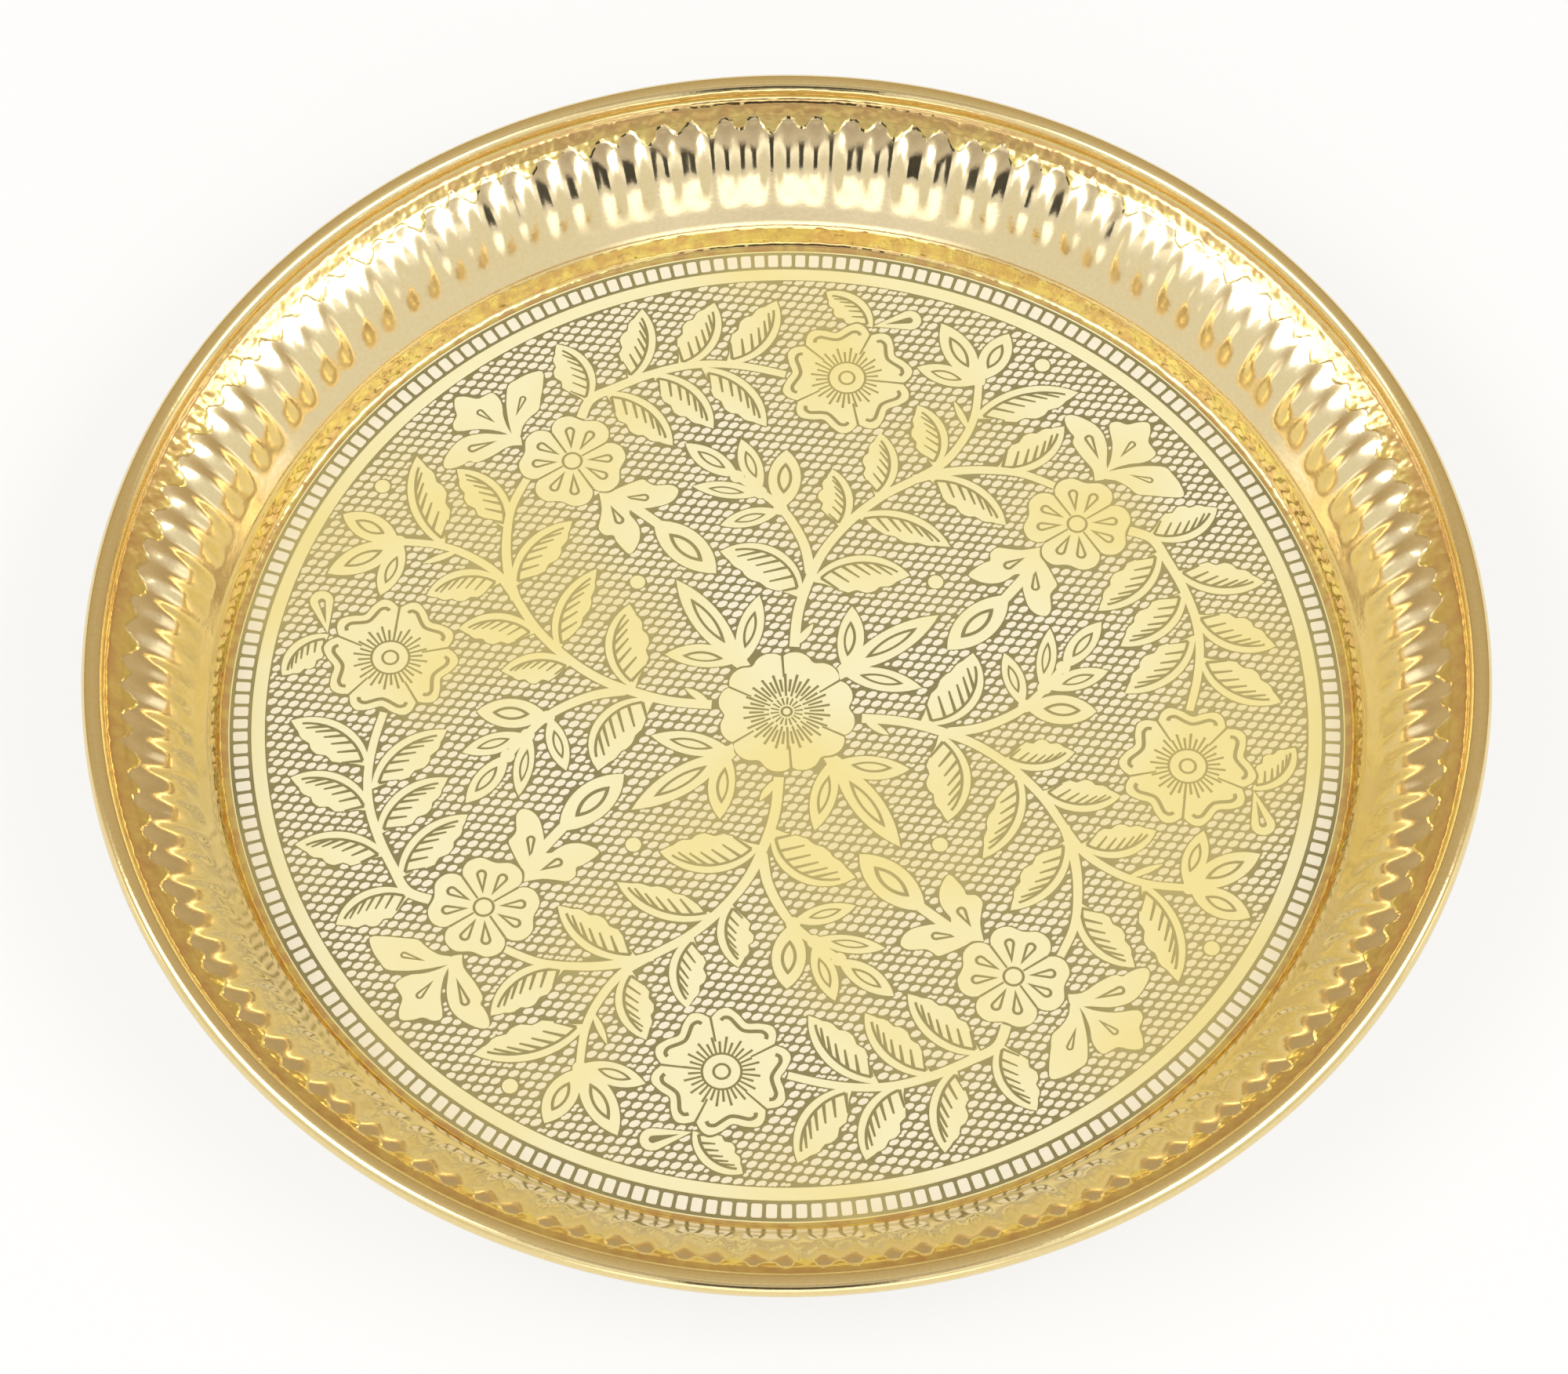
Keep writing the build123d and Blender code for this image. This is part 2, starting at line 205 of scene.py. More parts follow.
def make_polished_brass():
    """Brass sheet, pressed, buffed and lacquered: a warm mirror, slightly wavy from the press. The lacquer gathers on
    the ledge and riser and runs down between the ribs' heads, where it is lumpy and yellow with amber blotches."""
    material, add, place = start_material("pressed_brass_buffed_and_lacquered")
    # Waves of about 6 mm from the press
    waves = add("TexNoise", {"Vector": place, "Scale": 1 / (6 * MM), "Detail": 2.0}, out="Fac")
    # Lumps of about 2.4 mm in thick lacquer
    lumps = add("TexNoise", {"Vector": place, "Scale": 1 / (2.4 * MM), "Detail": 1.0}, out="Fac")
    # Blotches of about 2.8 mm that set where the lacquer is painted amber instead of yellow
    blotches = add("TexNoise", {"Vector": place, "Scale": 1 / (2.8 * MM), "Detail": 3.0}, out="Fac")
    # Grain of 0.8 mm, drawn about four times as coarse as the sheet's own so that it shows
    grain = add("TexNoise", {"Vector": place, "Scale": 1 / (0.8 * MM), "Detail": 3.0}, out="Fac")
    level = add("VectorMath", {0: place, 1: (1, 1, 0)}, "MULTIPLY")
    far = add("VectorMath", {0: level}, "LENGTH", out="Value")
    height = add("SeparateXYZ", {0: place}, out=2)
    on_bead = add("MapRange", {"Value": far, "From Min": BEAD_START[0] * MM, "From Max": BEAD_START[1] * MM})
    in_dish = add("Math", {0: 1.0, 1: on_bead}, "SUBTRACT")
    # The lacquer lies on the riser and from a ragged line at the ribs' heads upwards, only on the upper face
    facing = add("SeparateXYZ", {0: add("NewGeometry", out="Normal")}, out=2)
    upper_face = add("MapRange", {"Value": facing, "From Min": -0.05, "From Max": 0.05})
    on_riser = add("MapRange", {"Value": height, "From Min": RISER_FILM[0] * MM, "From Max": RISER_FILM[1] * MM,
                                "To Max": 0.9})
    rib = add("Attribute", attribute_name="rib", out="Fac")
    head = add("Math", {0: rib, 1: -RUN_DROP * MM, 2: height}, "MULTIPLY_ADD")
    ragged = add("Math", {0: lumps, 1: RUN_RAGGED * MM, 2: head}, "MULTIPLY_ADD")
    run_in = add("MapRange", {"Value": ragged, "From Min": RUNS[0] * MM, "From Max": RUNS[1] * MM})
    gathered = add("Math", {0: run_in, 1: on_riser}, "MAXIMUM")
    pooled = add("Math", {0: gathered, 1: upper_face}, "MULTIPLY")
    thick = add("Math", {0: pooled, 1: in_dish}, "MULTIPLY")
    lumpy = add("Math", {0: lumps, 1: thick}, "MULTIPLY")
    # Its amber part: all of the upper ledge, and spots on the riser
    amber_height = add("Math", {0: blotches, 1: AMBER_RAGGED * MM, 2: height}, "MULTIPLY_ADD")
    amber_top = add("MapRange", {"Value": amber_height, "From Min": AMBER[0] * MM, "From Max": AMBER[1] * MM})
    spotted = add("MapRange", {"Value": blotches, "From Min": 0.42, "From Max": 0.58})
    amber_low = add("Math", {0: spotted, 1: on_riser}, "MULTIPLY")
    amber_share = add("Math", {0: amber_top, 1: amber_low}, "MAXIMUM")
    lacquer = add("Mix", {"Factor": amber_share, "A": hex_colour("#F5DE8C"), "B": hex_colour("#E4BE80")},
                  data_type="RGBA", out="Result")
    clean = add("Mix", {"Factor": grain, "A": hex_colour("#EAD49F"), "B": hex_colour("#F2E2BA")},
                data_type="RGBA", out="Result")
    dish = add("Mix", {"Factor": pooled, "A": clean, "B": lacquer}, data_type="RGBA", out="Result")
    bead = add("Mix", {"Factor": grain, "A": hex_colour("#E6CE8C"), "B": hex_colour("#F0DEAC")},
               data_type="RGBA", out="Result")
    tone = add("Mix", {"Factor": on_bead, "A": dish, "B": bead}, data_type="RGBA", out="Result")
    haze = add("MapRange", {"Value": waves, "From Min": 0.3, "From Max": 0.7, "To Min": 0.08, "To Max": 0.15})
    soft = add("Bump", {"Height": waves, "Strength": 0.04, "Distance": 1 * MM})
    uneven = add("Bump", {"Height": lumpy, "Strength": 0.25, "Distance": 0.8 * MM, "Normal": soft})
    fine = add("Bump", {"Height": grain, "Strength": 0.05, "Distance": 0.2 * MM, "Normal": uneven})
    surface = add("BsdfPrincipled", {"Base Color": tone, "Metallic": 1.0, "Roughness": haze, "Normal": fine})
    add("OutputMaterial", {"Surface": surface})
    return material


def floor_wear(add, place):
    """Clouds of about 55 mm where the floor is more worn and yellowed, the same in each of its finishes."""
    clouds = add("TexNoise", {"Vector": place, "Scale": 1 / (55 * MM), "Detail": 2.0}, out="Fac")
    return add("MapRange", {"Value": clouds, "From Min": 0.4, "From Max": 0.62})


def make_land_brass(name, light, tarnished):
    """Face of the sheet kept from the etch, buffed flat and hazed by the lacquer: pale lemon gold that stays bright
    from all sides, with soft clouds of tarnish."""
    material, add, place = start_material(name)
    # Buffing grain of 0.5 mm
    grain = add("TexNoise", {"Vector": place, "Scale": 1 / (0.5 * MM), "Detail": 2.0}, out="Fac")
    tone = add("Mix", {"Factor": floor_wear(add, place), "A": hex_colour(light), "B": hex_colour(tarnished)},
               data_type="RGBA", out="Result")
    haze = add("MapRange", {"Value": grain, "To Min": 0.32, "To Max": 0.44})
    fine = add("Bump", {"Height": grain, "Strength": 0.05, "Distance": 0.1 * MM})
    surface = add("BsdfPrincipled", {"Base Color": tone, "Metallic": 0.3, "Roughness": haze, "Normal": fine})
    add("OutputMaterial", {"Surface": surface})
    return material


def make_etched_ground():
    """Bottom of the etch, darkened: dull olive brown and grainy, worn lighter in clouds."""
    material, add, place = start_material("etched_brass_darkened")
    # Pits of about 0.25 mm left by the acid
    pits = add("TexNoise", {"Vector": place, "Scale": 1 / (0.25 * MM), "Detail": 3.0}, out="Fac")
    dark = add("Mix", {"Factor": pits, "A": hex_colour("#7F7852"), "B": hex_colour("#A0986A")},
               data_type="RGBA", out="Result")
    tone = add("Mix", {"Factor": floor_wear(add, place), "A": dark, "B": hex_colour("#BDB27A")},
               data_type="RGBA", out="Result")
    rough = add("Bump", {"Height": pits, "Strength": 0.3, "Distance": 0.05 * MM})
    surface = add("BsdfPrincipled", {"Base Color": tone, "Metallic": 0.35, "Roughness": 0.6, "Normal": rough})
    add("OutputMaterial", {"Surface": surface})
    return material


def make_pad_brass():
    """Tops of the hatch between the cut lines, only wiped clean: paler, greyer and duller than the lands."""
    material, add, place = start_material("hatched_brass_wiped")
    # Specks of 1.2 mm left by the wiping
    specks = add("TexNoise", {"Vector": place, "Scale": 1 / (1.2 * MM), "Detail": 2.0}, out="Fac")
    tone = add("Mix", {"Factor": floor_wear(add, place), "A": hex_colour("#FFFBE6"), "B": hex_colour("#F7ECBC")},
               data_type="RGBA", out="Result")
    haze = add("MapRange", {"Value": specks, "To Min": 0.3, "To Max": 0.5})
    surface = add("BsdfPrincipled", {"Base Color": tone, "Metallic": 0.3, "Roughness": haze})
    add("OutputMaterial", {"Surface": surface})
    return material


def make_drawn_wire():
    """Steel wire, drawn: grey with fine streaks; only seen through the gap under the bead."""
    material, add, place = start_material("drawn_steel_wire")
    # Streaks of about 0.3 mm
    streaks = add("TexNoise", {"Vector": place, "Scale": 1 / (0.3 * MM), "Detail": 2.0}, out="Fac")
    haze = add("MapRange", {"Value": streaks, "To Min": 0.3, "To Max": 0.45})
    surface = add("BsdfPrincipled", {"Base Color": hex_colour("#8E8E90"), "Metallic": 1.0, "Roughness": haze})
    add("OutputMaterial", {"Surface": surface})
    return material


polished_brass = make_polished_brass()
land_brass = make_land_brass("unetched_brass_land_buffed", "#FFFCD4", "#FBF0AC")
square_brass = make_land_brass("unetched_brass_square_buffed_bright", "#FFFDEE", "#FFF8DA")
etched_ground = make_etched_ground()
pad_brass = make_pad_brass()


# Pressed plate

def arc(centre, radius, first, last, steps):
    """Points of an arc, its angles in degrees."""
    spots = []
    for n in range(steps + 1):
        angle = radians(first + (last - first) * n / steps)
        spots.append((centre[0] + radius * cos(angle), centre[1] + radius * sin(angle)))
    return spots


def bend(corner, slope_in, slope_out, radius, steps):
    """Rounded corner between two straight runs of the section that turn downwards, slopes in degrees."""
    cut = radius * tan(radians((slope_in - slope_out) / 2))
    first = (corner[0] - cut * cos(radians(slope_in)), corner[1] - cut * sin(radians(slope_in)))
    centre = (first[0] + radius * sin(radians(slope_in)), first[1] - radius * cos(radians(slope_in)))
    return arc(centre, radius, slope_in + 90, slope_out + 90, steps)


def plate_section():
    """Closed line of the sheet from the middle of its upper face round the rim to the middle of its under face.

    Each point is a radius, a height and how much of the flutes' depth it takes."""
    corner = FLOOR_RADIUS + COVE_RADIUS * tan(radians(RISER_SLOPE / 2))
    crease = (corner + RISER_RISE / tan(radians(RISER_SLOPE)), SHEET + RISER_RISE)
    run = WALL_RISE / sin(radians(WALL_SLOPE))
    up = (cos(radians(WALL_SLOPE)), sin(radians(WALL_SLOPE)))
    lean = tan(radians(FOOT_SLOPE - WALL_SLOPE))
    head = (crease[0] + run * up[0], crease[1] + WALL_RISE)
    head_slope = WALL_SLOPE - degrees(atan(lean * (2 * run / (run - STRAIGHT_RUN) - 1)))
    ledge_end = (head[0] + LEDGE_RUN, head[1] + LEDGE_RUN * tan(radians(LEDGE_SLOPE)))
    hole = WIRE_RADIUS + WIRE_CLEARANCE
    bead = hole + SHEET
    seat = radians(BEAD_SEAT)
    bead_centre = (ledge_end[0] - bead * cos(seat), ledge_end[1] - bead * sin(seat))
    seam = BEAD_SEAT + degrees(SHEET / bead)

    def wall(offset, stations):
        """Points up the wall with their share of the ribs' height, which is full at the crest.

        The wall is straight at its foot and curls over towards the ledge, about the line that its slope gives."""
        spots = []
        for s in stations:
            t = min(max((s - RIB_FOOT) / (RIB_HEAD - RIB_FOOT), 0), 1)
            rise = t / RIB_CREST
            fall = max(t - RIB_CREST, 0) / (1 - RIB_CREST)
            share = rise * rise * (3 - 2 * rise) if t < RIB_CREST else 1 - fall ** RIB_FALL
            curl = max(s - STRAIGHT_RUN, 0) / (run - STRAIGHT_RUN)
            out = offset - lean * (s - run * curl * curl)
            spots.append((crease[0] + s * up[0] + out * up[1], crease[1] + s * up[1] - out * up[0], share))
        return spots

    def plain(spots):
        return [(r, z, 0.0) for r, z in spots]

    def under_corner(corner, slope_in, slope_out):
        """Corner of the under face beneath a bend of the upper face."""
        middle = radians((slope_in + slope_out) / 2)
        depth = SHEET / cos(radians((slope_in - slope_out) / 2))
        return (corner[0] + depth * sin(middle), corner[1] - depth * cos(middle))

    upper = plain([(r, SHEET) for r in (0, FLOOR_STATION, EDGE_OUTER)])
    upper += plain(arc((FLOOR_RADIUS, SHEET + COVE_RADIUS), COVE_RADIUS, -90, RISER_SLOPE - 90, COVE_STEPS))
    upper += plain(bend(crease, RISER_SLOPE, FOOT_SLOPE, CREASE_RADIUS, CREASE_STEPS))
    upper += wall(0, WALL_STATIONS)
    upper += plain(bend(head, head_slope, LEDGE_SLOPE, LEDGE_BEND, LEDGE_STEPS))
    upper += plain([((head[0] + ledge_end[0]) / 2, (head[1] + ledge_end[1]) / 2)])
    upper += plain(arc(bead_centre, bead, BEAD_SEAT, seam + CURL_OPENING - 360, BEAD_STEPS))
    lower = plain(arc(bead_centre, hole, seam + CURL_OPENING - 360, seam, HOLE_STEPS))
    slope = radians(LEDGE_SLOPE)
    lower += plain([(ledge_end[0] + SHEET * (cos(slope) + sin(slope)),
                     ledge_end[1] + SHEET * (sin(slope) - cos(slope)))])
    head_low = under_corner(head, head_slope, LEDGE_SLOPE)
    lower += plain(bend(head_low, head_slope, LEDGE_SLOPE, LEDGE_BEND - SHEET, UNDER_BEND_STEPS)[::-1])
    lower += wall(SHEET, WALL_STATIONS[::3])[::-1]
    crease_low = under_corner(crease, RISER_SLOPE, FOOT_SLOPE)
    lower += plain(bend(crease_low, RISER_SLOPE, FOOT_SLOPE, CREASE_RADIUS - SHEET, UNDER_BEND_STEPS)[::-1])
    lower += plain(arc((FLOOR_RADIUS, SHEET + COVE_RADIUS), COVE_RADIUS + SHEET, RISER_SLOPE - 90, -90,
                       UNDER_COVE_STEPS))
    lower += plain([(UNDER_STATION, 0), (0, 0)])
    return upper + lower


def make_dish_tree():
    """Turns the section round the plate's axis and presses the flutes into its wall."""
    sizes = {"Steps round": "Int", "Flutes": "Int", "Rib height": "Float", "Parting": "Float", "Slope": "Float",
             "Ground radius": "Float", "Sheet": "Material", "Ground": "Material"}
    tree, add, given, keys = start_tree("fluted_dish", sizes)
    count = add("AttributeDomainSize", {"Geometry": given["Geometry"]}, out="Point Count")
    rings = add("Math", {0: given["Steps round"], 1: 1.0}, "ADD")
    net = add("MeshGrid", {"Vertices X": rings, "Vertices Y": count})
    index = add("InputIndex")
    ring = add("IntegerMath", {0: index, 1: count}, "DIVIDE")
    step = add("IntegerMath", {0: index, 1: count}, "MODULO")
    turn = add("Math", {0: ring, 1: given["Steps round"]}, "DIVIDE")
    angle = add("Math", {0: turn, 1: 2 * pi}, "MULTIPLY")
    spot = add("SampleIndex", {"Geometry": given["Geometry"], "Value": add("InputPosition"), "Index": step},
               data_type="FLOAT_VECTOR")
    given_share = add("InputNamedAttribute", {"Name": "flute_share"})
    share = add("SampleIndex", {"Geometry": given["Geometry"], "Value": given_share, "Index": step})
    swing = add("Math", {0: angle, 1: given["Flutes"]}, "MULTIPLY")
    wave = add("Math", {0: swing}, "SINE")
    # The square of the wave parts each flute into two ribs
    square = add("Math", {0: wave, 1: wave}, "MULTIPLY")
    dip = add("Math", {0: square, 1: -1.0, 2: 1.0}, "MULTIPLY_ADD")
    broad = add("Math", {0: dip, 1: given["Parting"]}, "MULTIPLY")
    half = add("Math", {0: wave, 1: 0.5, 2: 0.5}, "MULTIPLY_ADD")
    shaped = add("Math", {0: half, 1: broad}, "ADD")
    high = add("Math", {0: shaped, 1: given["Rib height"]}, "MULTIPLY")
    press = add("Math", {0: high, 1: share}, "MULTIPLY")
    lean_r = add("Math", {0: given["Slope"]}, "SINE")
    lean_z = add("Math", {0: given["Slope"]}, "COSINE")
    back = add("Math", {0: lean_r, 1: -1.0}, "MULTIPLY")
    inwards = add("CombineXYZ", {0: back, 2: lean_z})
    shift = add("VectorMath", {0: inwards, "Scale": press}, "SCALE")
    pressed = add("VectorMath", {0: spot, 1: shift}, "ADD")
    turned = add("VectorRotate", {"Vector": pressed, "Angle": angle}, rotation_type="Z_AXIS")
    marked = add("StoreNamedAttribute", {"Geometry": net, "Name": "rib", "Value": shaped}, data_type="FLOAT")
    round_net = add("SetPosition", {"Geometry": marked, "Position": turned})
    closed = add("MergeByDistance", {"Geometry": round_net, "Distance": WELD * MM})
    smooth = add("SetShadeSmooth", {"Geometry": closed})
    brass = add("SetMaterial", {"Geometry": smooth, "Material": given["Sheet"]})
    x, y, z = add("SeparateXYZ", {0: add("InputPosition")}, out=None)
    far = add("VectorMath", {0: add("CombineXYZ", {0: x, 1: y})}, "LENGTH", out="Value")
    inside = add("Math", {0: far, 1: given["Ground radius"]}, "LESS_THAN")
    above = add("Math", {0: z, 1: SHEET / 2 * MM}, "GREATER_THAN")
    etched = add("Math", {0: inside, 1: above}, "MULTIPLY")
    ground = add("SetMaterial", {"Geometry": brass, "Selection": etched, "Material": given["Ground"]})
    add("GroupOutput", {0: ground})
    return tree, keys


def make_plate():
    """Pressed sheet with its etched floor."""
    line = plate_section()
    plate = make_piece("brass_plate", [(r, 0, z) for r, z, _ in line], [])
    share = plate.data.attributes.new("flute_share", "FLOAT", "POINT")
    share.data.foreach_set("value", [s for _, _, s in line])
    tree, keys = make_dish_tree()
    # Greatest height of the wave that the tree makes, so that the ribs come out as high as they are given
    crest = 0.5 + RIB_PARTING + 1 / (16 * RIB_PARTING)
    work_out(plate, tree, keys, {
        "Steps round": FLUTE_COUNT * STEPS_PER_FLUTE, "Flutes": FLUTE_COUNT, "Rib height": RIB_HEIGHT / crest * MM,
        "Parting": RIB_PARTING, "Slope": radians(WALL_SLOPE), "Ground radius": (EDGE_OUTER + 0.02) * MM,
        "Sheet": polished_brass, "Ground": etched_ground})
    hand_over(plate, "brass_sheet", "pressed_plate")


# Outlines of the floor's design, in hundredths of the field's radius

def along(base, tip, share, side):
    """Place on a leaf, a share of the way from its base to its tip and so far to the left."""
    run = (tip[0] - base[0], tip[1] - base[1])
    length = hypot(*run)
    return (base[0] + share * run[0] - side * run[1] / length, base[1] + share * run[1] + side * run[0] / length)


def swell(share, length, bulge):
    """Height of a flat arc over a chord, a share of the way along it."""
    radius = (length * length / 4 + bulge * bulge) / (2 * bulge)
    x = (share - 0.5) * length
    return sqrt(max(radius * radius - x * x, 0)) - (radius - bulge)


def leaf(base, tip, left, right, steps=14):
    """Pointed leaf that swells to the left and right of the line from its base to its tip."""
    length = hypot(tip[0] - base[0], tip[1] - base[1])
    shares = [n / steps for n in range(steps + 1)]
    out = [along(base, tip, s, -swell(s, length, right)) for s in shares]
    back = [along(base, tip, s, swell(s, length, left)) for s in shares[-2:0:-1]]
    return out + back


def between(base, tip, share):
    return along(base, tip, share, 0)


# How far a blade's outer edge stands out along the leaf, which makes its lobes
LOBES = ((0, 0.6), (0.12, 0.55), (0.27, 0.98), (0.37, 1.14), (0.44, 0.86), (0.55, 1.18), (0.63, 1.14), (0.69, 0.82),
         (0.8, 1.12), (0.87, 0.8), (0.94, 0.9), (1, 0.6))


def lobe(share):
    for (s0, v0), (s1, v1) in zip(LOBES, LOBES[1:]):
        if share <= s1:
            return v0 + (v1 - v0) * (share - s0) / (s1 - s0)
    return LOBES[-1][1]


# Cut lines in a veined leaf: where they leave the rib along the leaf, how far on towards the tip and how deep they go,
# and the line that parts the rib from the blade
VEIN_ROOTS = (0.1, 0.21, 0.32, 0.43, 0.54, 0.65)
VEIN_RUN = 0.17
VEIN_DEPTH = 0.6
VEIN_WIDTH = 0.6
LONG_VEIN_WIDTH = 0.72
LONG_LEAF = 16.5
LEAF_RIB = 1.35
RIB_GAP = 0.6
RIB_GAP_PLACES = (0.1, 0.2, 0.33, 0.5, 0.67, 0.8, 0.88)


def veined_leaf(base, tip, left, right):
    """Leaf with a rib on its fuller side and a lobed blade that is cut by veins from the rib's side."""
    length = hypot(tip[0] - base[0], tip[1] - base[1])
    hand = 1 if left > right else -1
    full = max(left, right)
    slim = min(left, right)
    steps = 22
    shares = [n / steps for n in range(steps + 1)]
    rib = [along(base, tip, s, hand * swell(s, length, full)) for s in shares]
    blade = [along(base, tip, s, -hand * swell(s, length, slim) * lobe(s)) for s in shares[-2:0:-1]]

    def in_leaf(s, side):
        return along(base, tip, s, hand * side)

    def rib_side(s):
        return swell(s, length, full) - LEAF_RIB

    gap = [in_leaf(s, rib_side(s) - RIB_GAP / 2) for s in RIB_GAP_PLACES]
    shapes = [(rib + blade, True), (band(gap, RIB_GAP, 0.5), False)]
    wide = LONG_VEIN_WIDTH if length > LONG_LEAF else VEIN_WIDTH
    for root in VEIN_ROOTS:
        start = in_leaf(root, rib_side(root) - RIB_GAP / 2)
        stop = in_leaf(root + VEIN_RUN, rib_side(root) - VEIN_DEPTH * full)
        shapes.append((band([start, stop], wide, 0.5 * wide), False))
    return shapes


# Line cut round a leaf's heart, and the heart: where each starts and ends along the leaf and its share of the swell
HEART_LINE = (0.24, 0.78, 0.46)
HEART = (0.31, 0.71, 0.28)


def inner_leaf(base, tip, left, right, start, end, share, steps=14):
    """Smaller leaf within a leaf."""
    return leaf(between(base, tip, start), between(base, tip, end), share * left, share * right, steps)


def outlined_leaf(*one):
    """Leaf with a fine pointed line cut round its heart."""
    return [(leaf(*one), True), (inner_leaf(*one, *HEART_LINE), False)]


def smooth_line(points, steps=6):
    """Points of an even curve through the given points."""
    line = []
    ends = [points[0], *points, points[-1]]
    for a, b, c, d in zip(ends, ends[1:], ends[2:], ends[3:]):
        for n in range(steps):
            t = n / steps
            spot = []
            for k in (0, 1):
                spot.append(0.5 * (2 * b[k] + (c[k] - a[k]) * t + (2 * a[k] - 5 * b[k] + 4 * c[k] - d[k]) * t * t
                                   + (3 * b[k] - a[k] - 3 * c[k] + d[k]) * t ** 3))
            line.append(tuple(spot))
    line.append(points[-1])
    return line


def band(points, start, end):
    """Closed outline of a stroke through the points, its width running from start to end."""
    line = smooth_line(points)
    left = []
    right = []
    for n, spot in enumerate(line):
        before = line[max(n - 1, 0)]
        after = line[min(n + 1, len(line) - 1)]
        angle = atan2(after[1] - before[1], after[0] - before[0])
        reach = (start + (end - start) * n / (len(line) - 1)) / 2
        left.append((spot[0] - reach * sin(angle), spot[1] + reach * cos(angle)))
        right.append((spot[0] + reach * sin(angle), spot[1] - reach * cos(angle)))
    return right + left[::-1]


def disc(centre, radius, steps=24):
    return [(centre[0] + radius * cos(2 * pi * n / steps), centre[1] + radius * sin(2 * pi * n / steps))
            for n in range(steps)]


def drop(tail, head, radius):
    """Teardrop with its point at the tail."""
    angle = atan2(head[1] - tail[1], head[0] - tail[0])
    spots = [tail]
    for n in range(9):
        turn = angle - radians(100) + radians(200) * n / 8
        spots.append((head[0] + radius * cos(turn), head[1] + radius * sin(turn)))
    return spots


def polar(centre, angle, radius):
    return (centre[0] + radius * cos(radians(angle)), centre[1] + radius * sin(radians(angle)))


def petal_line(centre, middle, edge, grow=0.0):
    """Line along the edge of a petal, which is the same on both sides of its middle."""
    turns = [(-turn, reach) for turn, reach in edge[:0:-1]] + list(edge)
    return smooth_line([polar(centre, middle + turn, reach + grow) for turn, reach in turns], 4)


def flower_outline(centre, petals, first, edge, grow=0.0):
    spots = []
    for n in range(petals):
        spots += petal_line(centre, first + 360 / petals * n, edge, grow)[:-1]
    return spots


def ray(centre, angle, inner, outer, width):
    """Narrow straight stroke away from a flower's middle, wider at its outer end."""
    return band([polar(centre, angle, inner), polar(centre, angle, outer)], 0.75 * width, width)


# Flowers: middle, petals, angle of the first petal and its edge as angles and reaches from the petal's middle
OUTER_FLOWER = ((-12, -76.5), 5, 65, ((0, 10.9), (10, 12.0), (20, 13.1), (28, 12.6), (36, 11.1)))
INNER_FLOWER = ((42.3, -56.9), 4, 78, ((0, 9.6), (16, 10.5), (30, 10.2), (40, 8.9), (45, 7.2)))
CENTRE_FLOWER = ((0, 0), 6, 64, ((0, 12.0), (8, 12.9), (16, 13.3), (24, 13.0), (30, 12.2)))
PETAL_TRACE = ((0, 9.3), (9, 9.9), (17, 11.0), (23, 11.1), (26, 10.5))
TRACE_WIDTH = 0.75
OUTER_STAMENS = 32
CENTRE_STAMENS = 44
CENTRE_HAIRS = 18


def outer_flower():
    """Five petals, each with a wavy line inside its edge, round a ringed eye with fine stamens."""
    centre, petals, first = OUTER_FLOWER[:3]
    each = 360 / petals
    shapes = [(flower_outline(*OUTER_FLOWER), True)]
    for n in range(petals):
        middle = first + each * n
        shapes.append((ray(centre, middle + each / 2, 6.2, 12, LINE), False))
        shapes.append((band(petal_line(centre, middle, PETAL_TRACE)[::2], TRACE_WIDTH, TRACE_WIDTH), False))
    for n in range(OUTER_STAMENS):
        shapes.append((ray(centre, 360 / OUTER_STAMENS * n + 4, 3.7, 7.2 if n % 2 else 6.2, 0.5), False))
    for radius, kept in ((3.9, False), (3.45, True), (1.75, False), (1.25, True)):
        shapes.append((disc(centre, radius, 30), kept))
    return shapes


def inner_flower():
    """Four heart-shaped petals, each with two drops cut in it, round a plain eye."""
    centre, petals, first = INNER_FLOWER[:3]
    shapes = [(flower_outline(*INNER_FLOWER), True)]
    for n in range(petals):
        middle = first + 90 * n
        shapes.append((ray(centre, middle + 45, 2.2, 7.6, LINE), False))
        for turn in (-17, 17):
            shapes.append((drop(polar(centre, middle + turn, 2.8), polar(centre, middle + turn, 7.0), 1.05), False))
            shapes.append((drop(polar(centre, middle + turn, 4.4), polar(centre, middle + turn, 6.95), 0.52), True))
    for radius, kept in ((2.1, False), (1.6, True)):
        shapes.append((disc(centre, radius), kept))
    return shapes


def centre_flower():
    """Six petals round a wide tuft of stamens."""
    centre, petals, first = CENTRE_FLOWER[:3]
    shapes = [(flower_outline(*CENTRE_FLOWER), True)]
    for n in range(petals):
        shapes.append((ray(centre, first + 60 * n + 30, 7.6, 13, LINE), False))
    for n in range(CENTRE_STAMENS):
        inner, outer = (3.4, 8.4) if n % 2 else (4.4, 7.2)
        shapes.append((ray(centre, 360 / CENTRE_STAMENS * n + 2, inner, outer, 0.54), False))
    for n in range(CENTRE_HAIRS):
        shapes.append((ray(centre, 360 / CENTRE_HAIRS * n + 7, 1.5, 3.1, 0.42), False))
    shapes += [(disc(centre, 1.2), False), (disc(centre, 0.7), True)]
    return shapes


